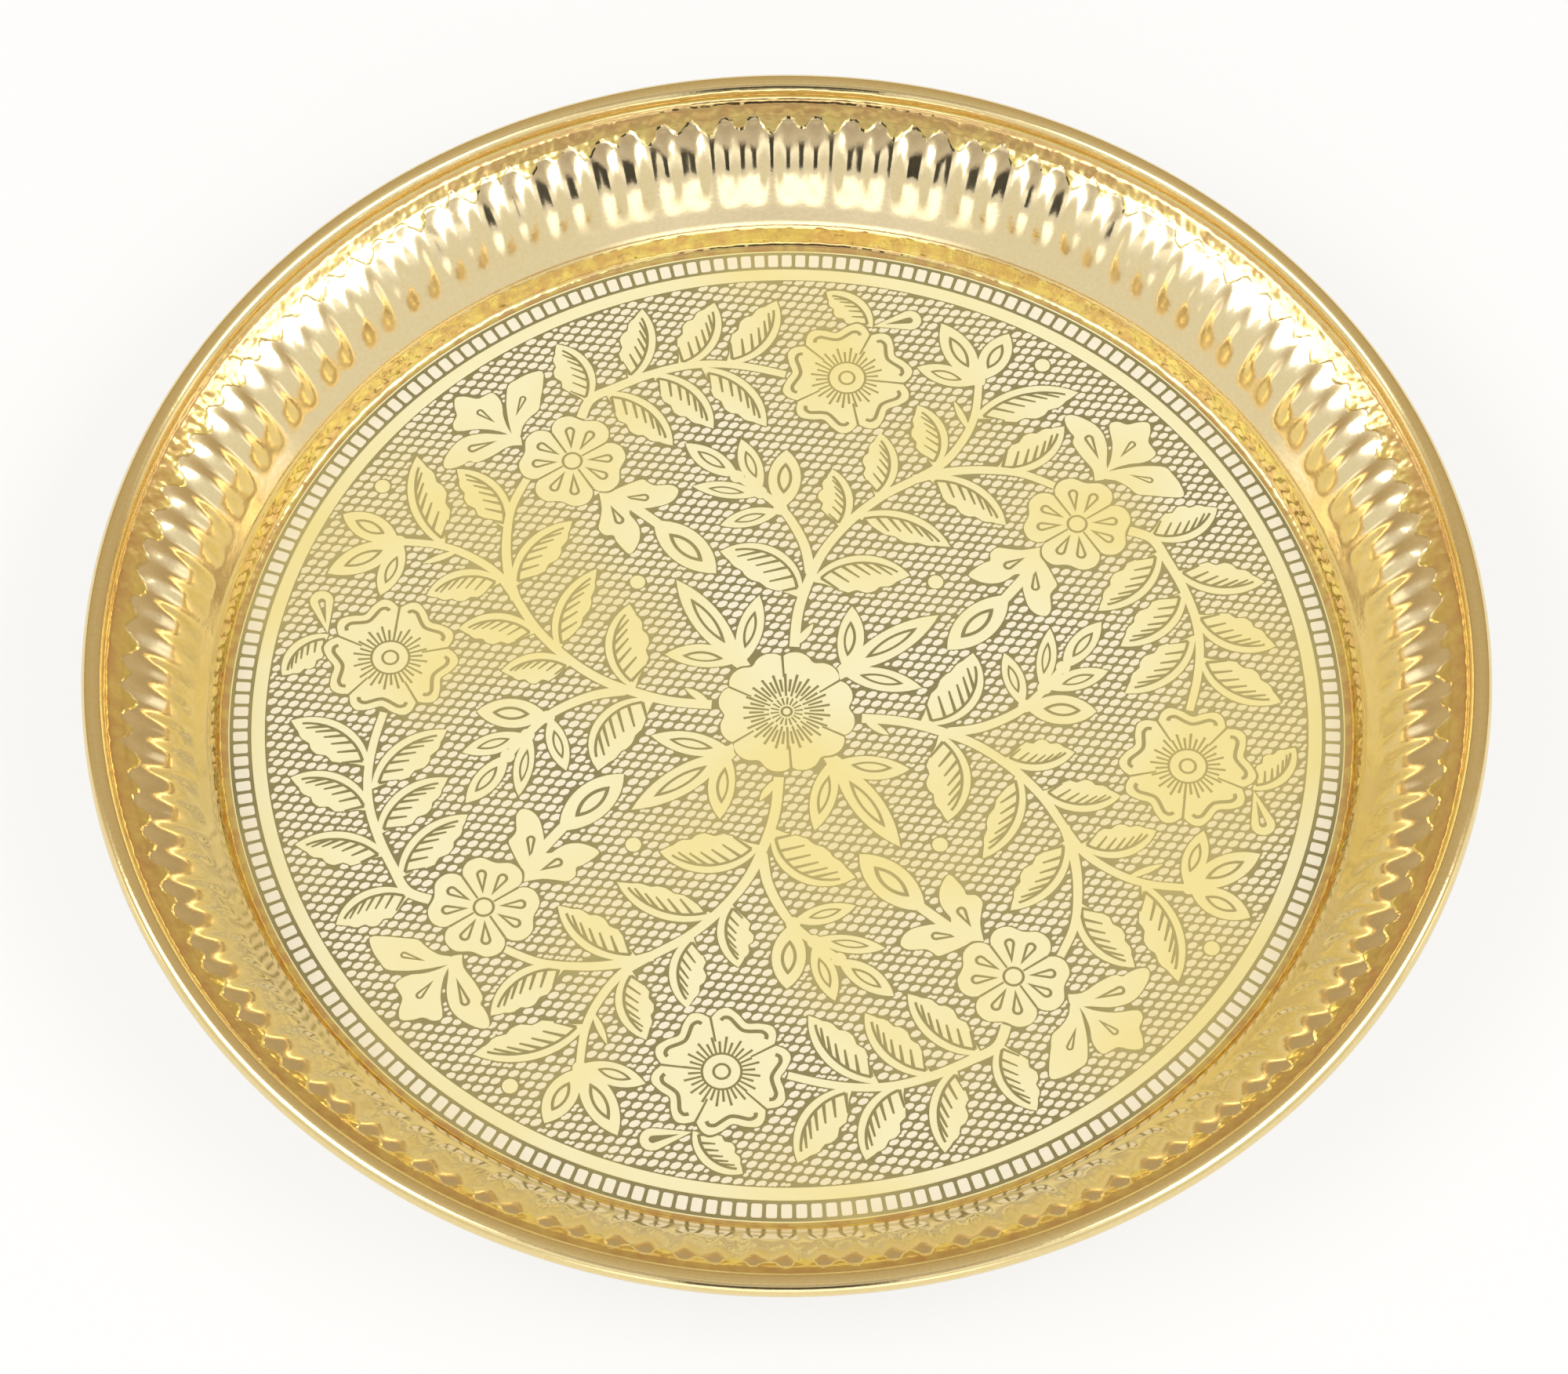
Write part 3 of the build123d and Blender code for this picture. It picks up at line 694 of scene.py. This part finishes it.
STEMS = (
    ((-1.5, -14.4), (-2.2, -22), (-4.2, -29), (-7.2, -36), (-12, -42.5), (-18.5, -48.5), (-26, -53),
     (-31, -56.5), (-35, -62), (-37.4, -68), (-38.3, -76)),
    ((-4.6, -31), (-3.6, -37), (-1.2, -42.5), (1.6, -46.5), (5.5, -50), (10, -53.5)),
    ((-25, -52.6), (-31, -54.2), (-38, -54.8), (-46, -54), (-53, -51)),
    ((41, -66), (39, -71.3), (34, -74.2), (28, -77), (21, -79.2), (14, -79.8), (7, -79), (0.2, -77.3)),
)
SPURS = (((-1.4, -14.6), (-5.2, -19.6), 0.6, 0.9), ((-36.2, -64), (-33.2, -71), 0.7, 0.6))
VEINED_LEAVES = (
    ((-4.8, -29.2), (-24, -30.5), 5.2, 2.9),
    ((-2.8, -25.4), (13, -36), 1.7, 6.6),
    ((-13.2, -44.2), (-32, -37), 4.2, 1.8),
    ((-10.6, -41.2), (-9, -55), 3.1, 3.2),
    ((-17.6, -48.2), (-18.5, -63.5), 2.7, 3.9),
    ((-27.6, -53.4), (-43, -42), 4.2, 2.6),
    ((-29.2, -55.2), (-26, -70), 2.4, 4.2),
    ((-41, -54.6), (-55, -65), 2.6, 4.5),
    ((-36.9, -66.8), (-58, -73), 4.2, 3.0),
    ((36.3, -73.2), (22.5, -60.5), 4.2, 2.8),
    ((27, -77.6), (14.5, -64.5), 4.2, 2.6),
    ((17, -79), (4, -65), 4.2, 2.8),
    ((12.2, -79.6), (2, -95), 2.8, 4.8),
    ((21.7, -78.8), (14.5, -94.5), 2.9, 4.5),
    ((31.3, -75.4), (29, -93), 2.9, 3.9),
    ((39.4, -70.4), (46, -84.5), 3.0, 4.2),
)
SPRIG_LEAVES = (
    ((1.2, -45.4), (13, -42), 1.9, 2.1),
    ((0.8, -46), (0, -59.5), 3.2, 3.2),
    ((5, -49), (18.5, -51), 1.7, 2.0),
    ((5, -50), (9, -62), 2.3, 2.1),
    ((9.5, -53.3), (20, -61), 2.5, 2.2),
    ((-38.6, -76), (-44.5, -87), 2.9, 2.9),
    ((-38, -75.5), (-31, -89.5), 3.0, 3.0),
    ((-37.8, -75), (-26, -79), 2.2, 2.4),
)
CENTRE_LEAVES = (
    ((8.6, -11.4), (23.5, -12.7), 2.2, 2.9),
    ((9, -10.2), (5.3, -26), 2.4, 2.5),
    ((8.8, -10.6), (21.5, -29.5), 2.9, 2.9),
)
# Lobed leaves behind the four-petalled flower, each with the tail, head and radius of the drop cut in it
SPRAY_LEAVES = (
    (((36.9, -49.5), (36.3, -46), (36.6, -43), (36.8, -41.2), (35.6, -39.8), (33.9, -39.7), (33.4, -38.6),
      (32.2, -36.9), (30.6, -35.4), (29.3, -37.2), (28.7, -39.3), (28.9, -41.5), (29.8, -43.2), (30.8, -44.6),
      (31, -46.5), (34, -49.4)), (34.6, -46.6), (32.8, -43.2), 0.85),
    (((36, -48.8), (33, -50.6), (30, -52), (28.3, -52.6), (27.2, -51.8), (26, -51.2), (24, -51.3), (22.5, -51.2),
      (21.3, -50.2), (21.8, -48.4), (23.2, -47.1), (25.2, -46.4), (28, -45.9), (31, -46)), (32.6, -48.4),
     (27.9, -48.4), 0.75),
    (((52.3, -60.6), (55, -60.3), (58, -58.2), (61, -56.6), (62.6, -56.9), (63.6, -56.2), (65.5, -55.3),
      (67.2, -55.2), (67.7, -56.4), (67, -58.5), (65.4, -61), (63.2, -62.6), (60, -63.3), (56.5, -63.1),
      (53, -63)), (57.2, -61.6), (62.1, -59.8), 0.8),
    (((54, -62.6), (57, -63.9), (61, -64.4), (65.2, -63.9), (66.1, -65.5), (65.4, -67.5), (65.9, -69.5),
      (65.8, -71.7), (63.8, -72), (61.5, -71.5), (60, -72.2), (58.6, -72.9), (57.3, -71.8), (56.5, -70),
      (56.2, -67.5), (55.3, -64.8)), (57.7, -65.8), (60.8, -68.3), 0.65),
    (((54.2, -62.4), (54.9, -65.2), (55.5, -68.5), (55.7, -71.5), (55.4, -74.6), (53.8, -76), (51.5, -77.4),
      (48.7, -78), (48.5, -75), (48.9, -71.5), (49.2, -69), (50.8, -67.3), (52.3, -65), (52.8, -62.5)),
     (53.7, -67.4), (52.4, -71.5), 0.6),
)
BUD = ((26, -43), (13.7, -31), 3.9, 3.6)
BUD_STALK = ((36, -50.6), (30.5, -46.6), (25, -42.2))
LOW_SPRAY = ((-17.2, -88.6), (-8, -97.2), 2.7, 3.4)
LOW_LOOP = ((-17.4, -88.8), (-24.7, -90.3))
DOTS = ((29, -29), (-51, -79.5))
DOT_RADIUS = 1.5
SPRIG_KNOTS = ((1.2, -45.8), (5.2, -49.6), (9.8, -53.3), (-38.2, -75.8))
CENTRE_KNOT = (9.2, -11.4)


def turned(outline, turn):
    """Outline turned about the plate's middle."""
    c, s = cos(radians(turn)), sin(radians(turn))
    return [(x * c - y * s, x * s + y * c) for x, y in outline]


def clear_of_flowers():
    """Cuts that part the vines and sprays from the flowers."""
    cuts = [(flower_outline(*OUTER_FLOWER, grow=LINE), False), (flower_outline(*INNER_FLOWER, grow=LINE), False)]
    cuts.append((turned(flower_outline(*INNER_FLOWER, grow=LINE), -90), False))
    cuts.append((flower_outline(*CENTRE_FLOWER, grow=LINE), False))
    return cuts


def vines():
    """Stems with their veined leaves and leaf sprigs."""
    shapes = []
    for one in VEINED_LEAVES:
        shapes += veined_leaf(*one)
    for one in SPRIG_LEAVES:
        shapes += outlined_leaf(*one)
    shapes += [(band(points, STEM_WIDTH, STEM_WIDTH * 0.75), True) for points in STEMS]
    shapes += [(leaf(*one), True) for one in SPURS]
    shapes += [(disc(knot, 1.4), True) for knot in SPRIG_KNOTS]
    return shapes + clear_of_flowers()


def sprays():
    """Lobed leaves, bud and low spray that come from behind the flowers."""
    shapes = []
    for outline, tail, head, radius in SPRAY_LEAVES:
        shapes += [(smooth_line([*outline, outline[0]], 3)[:-1], True), (drop(tail, head, radius * 1.2), False)]
        shapes.append((drop(between(tail, head, 0.42), head, radius * 0.5), True))
    shapes += [*outlined_leaf(*BUD), (band(BUD_STALK, STEM_WIDTH, STEM_WIDTH), True)]
    shapes += [*veined_leaf(*LOW_SPRAY), (drop(*LOW_LOOP, 2.3), True)]
    shapes.append((drop(between(*LOW_LOOP, 0.3), between(*LOW_LOOP, 0.98), 0.75), False))
    return shapes + clear_of_flowers()


def centre_sprigs():
    shapes = []
    for one in CENTRE_LEAVES:
        shapes += outlined_leaf(*one)
    shapes += [(disc(CENTRE_KNOT, 1.6), True), (band([(6.5, -7), (8, -9.5), CENTRE_KNOT], 2.6, 2.6), True)]
    return shapes + [(flower_outline(*CENTRE_FLOWER, grow=LINE), False)]


def hearts():
    """Inner leaves within the outlined leaves."""
    return [(inner_leaf(*one, *HEART, 6), True) for one in (*SPRIG_LEAVES, *CENTRE_LEAVES, BUD)]


# Lands

def wound_left(outline):
    """The outline in the order that keeps its inside on the left."""
    area = sum(a[0] * b[1] - b[0] * a[1] for a, b in zip(outline, outline[1:] + outline[:1]))
    return outline if area > 0 else outline[::-1]


def make_land(name, shapes, top, unit=UNIT):
    """Solid left standing on the floor: shapes laid one over another, each kept or cut, their upper edges eased."""
    spots = []
    loops = []
    for outline, _ in shapes:
        loops.append(list(range(len(spots), len(spots) + len(outline))))
        spots += [Vector((x * unit, y * unit)) for x, y in wound_left(outline)]
    flat, _, faces, _, _, sources = geometry.delaunay_2d_cdt(spots, [], loops, 1, 1e-4)
    kept = [face for face, over in zip(faces, sources) if over and shapes[max(over)][1]]
    edges = set()
    for a, b, c in kept:
        edges.update(((a, b), (b, c), (c, a)))
    border = [(a, b) for a, b in edges if (b, a) not in edges]
    inwards = {}
    for a, b in border:
        run = (flat[b] - flat[a]).normalized()
        for end in (a, b):
            inwards[end] = inwards.get(end, Vector((0, 0))) + Vector((-run.y, run.x))
    used = sorted({n for face in kept for n in face})
    points = []
    high, mid, low = {}, {}, {}
    for n in used:
        inset = flat[n]
        if n in inwards and inwards[n].length > 0.2:
            inset = flat[n] + inwards[n].normalized() * EASED_EDGE
        high[n] = len(points)
        points.append((*inset, top))
        low[n] = len(points)
        points.append((*flat[n], LAND_FOOT))
        if n in inwards:
            mid[n] = len(points)
            points.append((*flat[n], top - EASED_EDGE))
    sides = [(high[a], high[b], high[c]) for a, b, c in kept]
    sides += [(low[c], low[b], low[a]) for a, b, c in kept]
    for a, b in sorted(border):
        sides += [(mid[a], mid[b], high[b], high[a]), (low[a], low[b], mid[b], mid[a])]
    return make_piece(name, points, sides)


def make_turning_tree():
    """Copies of a piece turned evenly about the plate's axis."""
    tree, add, given, keys = start_tree("turned_copies", {"Copies": "Int", "Finish": "Material"})
    spots = add("Points", {"Count": given["Copies"]})
    index = add("InputIndex")
    each = add("Math", {0: 2 * pi, 1: given["Copies"]}, "DIVIDE")
    angle = add("Math", {0: index, 1: each}, "MULTIPLY")
    turn = add("CombineXYZ", {2: angle})
    copies = add("InstanceOnPoints", {"Points": spots, "Instance": given["Geometry"], "Rotation": turn})
    end_tree(add, copies, given["Finish"])
    return tree, keys


# Hatched ground, whose cut lines run along two slants and leave a pad in each cell. Steps are in hundredths of the
# field's radius, and the pads' sizes are shares of a cell or, for heights and the room round the lands, millimetres.
ROW_STEP = (2.106, -0.248)
ROW_SHIFT = (1.24, 1.737)
ROW_COUNT = 116
PAD_SHARE = 0.82
PAD_LEAST = 0.94
PAD_MOST = 1.05
PAD_TAPER = 0.92
PAD_ROUNDING = 0.28
QUARTER_PAD = 0.52
PAD_TOP = SHEET + 0.11
PAD_LEVEL = SHEET + 0.04
PAD_OUTLINE = 0.3
PAD_ROOM = 0.42


def make_hatch_tree():
    """Small pads in slanting rows over the field, left out under the lands and drawn back from them.

    Where a land takes a pad's middle, the quarters of the pad that stand clear of it are kept."""
    sizes = {"Row step": "Vector", "Row shift": "Vector", "Count": "Int", "Field radius": "Float", "Outline": "Float",
             "Least room": "Float", "Quarter": "Float", "Level": "Float", "Lands": "Object", "Finish": "Material"}
    tree, add, given, keys = start_tree("hatched_ground", sizes)
    square = add("IntegerMath", {0: given["Count"], 1: given["Count"]}, "MULTIPLY")
    index = add("InputIndex")
    half = add("IntegerMath", {0: given["Count"], 1: 2}, "DIVIDE")
    across = add("IntegerMath", {0: index, 1: given["Count"]}, "MODULO")
    down = add("IntegerMath", {0: index, 1: given["Count"]}, "DIVIDE")
    column = add("IntegerMath", {0: across, 1: half}, "SUBTRACT")
    row = add("IntegerMath", {0: down, 1: half}, "SUBTRACT")
    # Every second row goes back by one pad, so that the rows fill a square and not a slanting strip
    back = add("Math", {0: row, 1: 0.5}, "MULTIPLY")
    whole = add("Math", {0: back}, "FLOOR")
    even = add("Math", {0: column, 1: whole}, "SUBTRACT")
    step = add("VectorMath", {0: given["Row step"], "Scale": even}, "SCALE")
    shift = add("VectorMath", {0: given["Row shift"], "Scale": row}, "SCALE")
    place = add("VectorMath", {0: step, 1: shift}, "ADD")
    lift = add("CombineXYZ", {2: given["Level"]})
    level = add("VectorMath", {0: place, 1: lift}, "ADD")
    spots = add("Points", {"Count": square, "Position": level})
    here = add("InputPosition")
    far = add("VectorMath", {0: here}, "LENGTH", out="Value")
    outside = add("Math", {0: far, 1: given["Field radius"]}, "GREATER_THAN")
    field = add("DeleteGeometry", {"Geometry": spots, "Selection": outside})
    lands = add("ObjectInfo", {"Object": given["Lands"]}, out="Geometry")
    near = add("Proximity", {0: lands}, target_element="FACES", out="Distance")
    tight = add("Math", {0: near, 1: given["Least room"]}, "LESS_THAN")
    parted = add("SeparateGeometry", {"Geometry": field, "Selection": tight}, out=None)
    # Four quarter pads for each one whose middle is taken
    four, which = add("DuplicateElements", {"Geometry": parted["Selection"], "Amount": 4}, domain="POINT", out=None)
    right = add("IntegerMath", {0: which, 1: 2}, "MODULO")
    upper = add("IntegerMath", {0: which, 1: 2}, "DIVIDE")
    part_x = add("Math", {0: right, 1: 0.5}, "SUBTRACT")
    part_y = add("Math", {0: upper, 1: 0.5}, "SUBTRACT")
    off_x = add("VectorMath", {0: given["Row step"], "Scale": part_x}, "SCALE")
    off_y = add("VectorMath", {0: given["Row shift"], "Scale": part_y}, "SCALE")
    off = add("VectorMath", {0: off_x, 1: off_y}, "ADD")
    off_small = add("VectorMath", {0: off, "Scale": given["Quarter"]}, "SCALE")
    quarters = add("SetPosition", {"Geometry": four, "Offset": off_small})
    clear = add("DeleteGeometry", {"Geometry": quarters, "Selection": tight})
    uneven = add("RandomValue", {2: PAD_LEAST, 3: PAD_MOST, "Seed": 7}, out=1)
    whole_size = add("CombineXYZ", {0: uneven, 1: uneven, 2: 1.0})
    whole_pads = add("InstanceOnPoints", {"Points": parted["Inverted"], "Instance": given["Geometry"],
                                          "Scale": whole_size})
    quarter_pads = add("InstanceOnPoints", {"Points": clear, "Instance": given["Geometry"],
                                            "Scale": (QUARTER_PAD, QUARTER_PAD, 1.0)})
    pads = add("JoinGeometry", {0: whole_pads})
    tree.links.new(quarter_pads, pads.node.inputs[0])
    marked = add("StoreNamedAttribute", {"Geometry": pads, "Name": "pad_middle", "Value": here},
                 data_type="FLOAT_VECTOR", domain="INSTANCE")
    real = add("RealizeInstances", {"Geometry": marked})
    # A corner that would come too near a land goes back along the line from the pad's middle
    middle = add("InputNamedAttribute", {"Name": "pad_middle"}, data_type="FLOAT_VECTOR")
    away = add("VectorMath", {0: here, 1: middle}, "SUBTRACT")
    flat = add("VectorMath", {0: away, 1: (1, 1, 0)}, "MULTIPLY")
    reach = add("VectorMath", {0: flat}, "LENGTH", out="Value")
    search = add("Math", {0: reach, 1: given["Outline"]}, "ADD")
    hit = add("Raycast", {"Target Geometry": lands, "Source Position": middle, "Ray Direction": flat,
                          "Ray Length": search}, out=None)
    room = add("Math", {0: hit["Hit Distance"], 1: given["Outline"]}, "SUBTRACT")
    ratio = add("Math", {0: room, 1: reach}, "DIVIDE")
    back_by = add("Math", {0: ratio, 1: -1.0}, "ADD")
    move = add("VectorMath", {0: flat, "Scale": back_by}, "SCALE")
    drawn = add("SetPosition", {"Geometry": real, "Selection": hit["Is Hit"], "Offset": move})
    end_tree(add, drawn, given["Finish"])
    return tree, keys


def ring_shapes(inner, outer, steps=300):
    return [(disc((0, 0), outer, steps), True), (disc((0, 0), inner, steps), False)]


LAND_TOP = SHEET + LAND_HEIGHT
# How much lower than the rest the sprays and the leaf hearts are kept
SPRAY_DROP = 0.01
HEART_DROP = 0.03
turning_tree, turning_keys = make_turning_tree()


def turn_land(name, shapes, copies, *nodes, lower=0.0, unit=UNIT, finish=land_brass):
    """Lands of one kind, repeated round the floor."""
    piece = make_land(name, shapes, LAND_TOP - lower, unit)
    work_out(piece, turning_tree, turning_keys, {"Copies": copies, "Finish": finish})
    hand_over(piece, "bright_land", *nodes)
    return piece


def square_shape():
    """Border square with its corners cut, out along +X."""
    middle = (SQUARES_INNER + SQUARES_OUTER) / 2
    x = (SQUARES_OUTER - SQUARES_INNER) / 2
    y = SQUARE_WIDTH / 2
    cut = SQUARE_CUT
    corners = ((x, -y + cut), (x, y - cut), (x - cut, y), (-x + cut, y), (-x, y - cut), (-x, -y + cut),
               (-x + cut, -y), (x - cut, -y))
    return [([(middle + a, b) for a, b in corners], True)]


make_plate()
lands = [
    turn_land("vine_lands", vines(), QUARTERS, "vines"),
    turn_land("spray_lands", sprays(), QUARTERS, "flower_sprays", lower=SPRAY_DROP),
    turn_land("outer_flower_lands", outer_flower(), QUARTERS, "outer_flowers"),
    turn_land("inner_flower_lands", inner_flower(), QUARTERS, "inner_flowers"),
    turn_land("centre_flower_land", centre_flower(), 1, "centre_flower"),
    turn_land("centre_sprig_lands", centre_sprigs(), QUARTERS, "centre_sprigs"),
    turn_land("dot_lands", [(disc(dot, DOT_RADIUS), True) for dot in DOTS], QUARTERS, "dots"),
    turn_land("leaf_hearts", hearts(), QUARTERS, lower=HEART_DROP),
    turn_land("ring_land", ring_shapes(FIELD_RADIUS, RING_OUTER), 1, "border_ring", unit=1),
]
turn_land("edge_land", ring_shapes(EDGE_INNER, EDGE_OUTER), 1, "border_edge", unit=1)
turn_land("square_lands", square_shape(), SQUARE_COUNT, "border_squares", unit=1, finish=square_brass)


def make_pads():
    """Hatched ground between the lands."""
    inner = 1 - 2 * PAD_ROUNDING
    corners = ((1, inner), (inner, 1), (-inner, 1), (-1, inner), (-1, -inner), (-inner, -1), (inner, -1), (1, -inner))
    reach = PAD_SHARE * UNIT / 2
    low = [(reach * (a * ROW_STEP[0] + b * ROW_SHIFT[0]), reach * (a * ROW_STEP[1] + b * ROW_SHIFT[1]))
           for a, b in corners]
    count = len(low)
    spots = [(x, y, LAND_FOOT - PAD_LEVEL) for x, y in low]
    spots += [(PAD_TAPER * x, PAD_TAPER * y, PAD_TOP - PAD_LEVEL) for x, y in low]
    faces = [list(range(count))[::-1], list(range(count, 2 * count))]
    faces += [(n, (n + 1) % count, count + (n + 1) % count, count + n) for n in range(count)]
    pads = make_piece("hatch_pads", spots, faces)
    around = make_piece("all_lands", [], [])
    spots = []
    faces = []
    for land in lands:
        first = len(spots)
        spots += [v.co.copy() for v in land.data.vertices]
        faces += [[first + n for n in p.vertices] for p in land.data.polygons]
    around.data.from_pydata(spots, [], faces)
    tree, keys = make_hatch_tree()
    work_out(pads, tree, keys, {
        "Row step": Vector((*ROW_STEP, 0)) * UNIT * MM, "Row shift": Vector((*ROW_SHIFT, 0)) * UNIT * MM,
        "Count": ROW_COUNT, "Field radius": FIELD_RADIUS * MM, "Outline": PAD_OUTLINE * MM, "Least room": PAD_ROOM * MM,
        "Quarter": PAD_SHARE / 2, "Level": PAD_LEVEL * MM, "Lands": around, "Finish": pad_brass})
    bpy.data.objects.remove(around)
    hand_over(pads, "brass_sheet")


make_pads()
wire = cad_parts["rim_wire"]
wire.data.materials.clear()
wire.data.materials.append(make_drawn_wire())


# Stage, light and camera

STAGE_REACH = 8000.0
STAGE_LEVEL = -0.3
STAGE_GLOW = 0.72


def make_stage():
    """Plain white floor that keeps the plate's shadow."""
    corners = [(-1, -1), (1, -1), (1, 1), (-1, 1)]
    floor = make_piece("floor", [(x * STAGE_REACH, y * STAGE_REACH, STAGE_LEVEL) for x, y in corners], [(0, 1, 2, 3)])
    material, add, _ = start_material("white_paper_floor")
    paper = add("BsdfDiffuse", {"Color": hex_colour("#F6F6F6")})
    white = add("Emission", {"Color": (1, 1, 1, 1), "Strength": 1.0})
    path = add("LightPath", out=None)
    mirrored = add("Math", {0: path["Is Glossy Ray"], 1: path["Is Transmission Ray"]}, "MAXIMUM")
    seen = add("Math", {0: path["Is Camera Ray"], 1: mirrored}, "MAXIMUM")
    share = add("Math", {0: seen, 1: STAGE_GLOW}, "MULTIPLY")
    add("OutputMaterial", {"Surface": add("MixShader", {0: share, 1: paper, 2: white})})
    floor.data.materials.append(material)


# Brightness of the studio's near and far half, by the sine of the height above the horizon
NEAR_HALF = ((0.0, (1.9, 1.92, 1.95)), (0.24, (1.9, 1.92, 1.95)), (0.31, (0.9, 0.88, 0.9)),
             (0.42, (0.82, 0.81, 0.83)), (0.6, (1.3, 1.32, 1.36)), (0.76, (1.45, 1.48, 1.5)),
             (0.86, (1.1, 1.1, 1.1)), (1.0, (0.64, 0.56, 0.44)))
FAR_HALF = ((0.0, (0.5, 0.4, 0.27)), (0.2, (0.52, 0.42, 0.28)), (0.45, (0.6, 0.49, 0.34)),
            (0.6, (0.6, 0.5, 0.36)), (0.75, (0.6, 0.5, 0.37)), (1.0, (0.64, 0.56, 0.44)))
# Screens behind the camera: how much each hides by that sine, how far across it is full and where it ends, and colour
SCREENS = (
    (((0.6, (0,) * 3), (0.66, (0.7,) * 3), (0.9, (0.7,) * 3), (0.96, (0,) * 3)), 0.3, 0.6, "#9C8A7C"),
    (((0.39, (0,) * 3), (0.42, (0.95,) * 3), (0.66, (0.95,) * 3), (0.72, (0,) * 3)), 0.18, 0.22, "#1C1A12"),
    (((0.0, (1,) * 3), (0.4, (1,) * 3), (0.5, (0,) * 3), (1.0, (0,) * 3)), 0.5, 0.3, "#EFEDE6"),
)


def make_world():
    """Soft studio, pale behind the camera and brown beyond the plate. Behind the camera are a broad brown screen and a
    narrow dark one that edges the metal, and dull screens stand low on both flanks."""
    world = bpy.data.worlds.new("studio")
    bpy.context.scene.world = world
    world.use_nodes = True
    world.node_tree.nodes.clear()
    add = partial(node, world.node_tree)
    x, y, height = add("SeparateXYZ", {0: add("TexCoord", out="Generated")}, out=None)

    def by_height(table):
        tone = add("ValToRGB", {0: height})
        stops = tone.node.color_ramp.elements
        for (place, colour), stop in zip(table, [stops[0], stops[1]]):
            stop.position, stop.color = place, (*colour, 1)
        for place, colour in table[2:]:
            stops.new(place).color = (*colour, 1)
        return tone

    beyond = add("MapRange", {"Value": y, "From Min": -0.15, "From Max": 0.35})
    shown = add("Mix", {"Factor": beyond, "A": by_height(NEAR_HALF), "B": by_height(FAR_HALF)},
                data_type="RGBA", out="Result")
    aside = add("Math", {0: x}, "ABSOLUTE")
    behind = add("MapRange", {"Value": y, "From Min": 0.0, "From Max": -0.1})
    for table, full, end, colour in SCREENS:
        wide = add("MapRange", {"Value": aside, "From Min": end, "From Max": full})
        standing = add("Math", {0: wide, 1: behind}, "MULTIPLY")
        screen = add("Math", {0: standing, 1: by_height(table)}, "MULTIPLY")
        shown = add("Mix", {"Factor": screen, "A": shown, "B": hex_colour(colour)}, data_type="RGBA", out="Result")
    add("OutputWorld", {"Surface": add("Background", {"Color": shown, "Strength": 1.0})})


# Soft boxes on both sides, in metres and watts
LAMP_PLACE = (0.78, -0.21, 0.88)
LAMP_SIZE = (0.9, 0.46)
LAMP_POWER = 3.6


def make_lamp(name, side):
    """Soft box aimed at the plate's middle."""
    data = bpy.data.lights.new(name, "AREA")
    data.shape = "RECTANGLE"
    data.size, data.size_y = LAMP_SIZE
    data.energy = LAMP_POWER
    lamp = bpy.data.objects.new(name, data)
    lamp.location = (side * LAMP_PLACE[0], *LAMP_PLACE[1:])
    lamp.rotation_euler = (-lamp.location).to_track_quat("-Z", "Y").to_euler()
    bpy.context.collection.objects.link(lamp)


CAMERA_RISE = 60.26
CAMERA_DISTANCE = 0.9597
LENS = 119.5
SENSOR = 36.0
FRAME_SHIFT = (-0.0017, 0.0157)


def make_camera():
    """Camera at the photo's angle."""
    data = bpy.data.cameras.new("camera")
    data.lens = LENS
    data.sensor_width = SENSOR
    data.shift_x, data.shift_y = FRAME_SHIFT
    camera = bpy.data.objects.new("camera", data)
    rise = radians(CAMERA_RISE)
    camera.location = (0, -CAMERA_DISTANCE * cos(rise), SHEET * MM + CAMERA_DISTANCE * sin(rise))
    camera.rotation_euler = (pi / 2 - rise, 0, 0)
    bpy.context.collection.objects.link(camera)
    bpy.context.scene.camera = camera


make_stage()
make_world()
make_lamp("soft_box_left", -1)
make_lamp("soft_box_right", 1)
make_camera()
bpy.context.scene.view_settings.view_transform = "Standard"
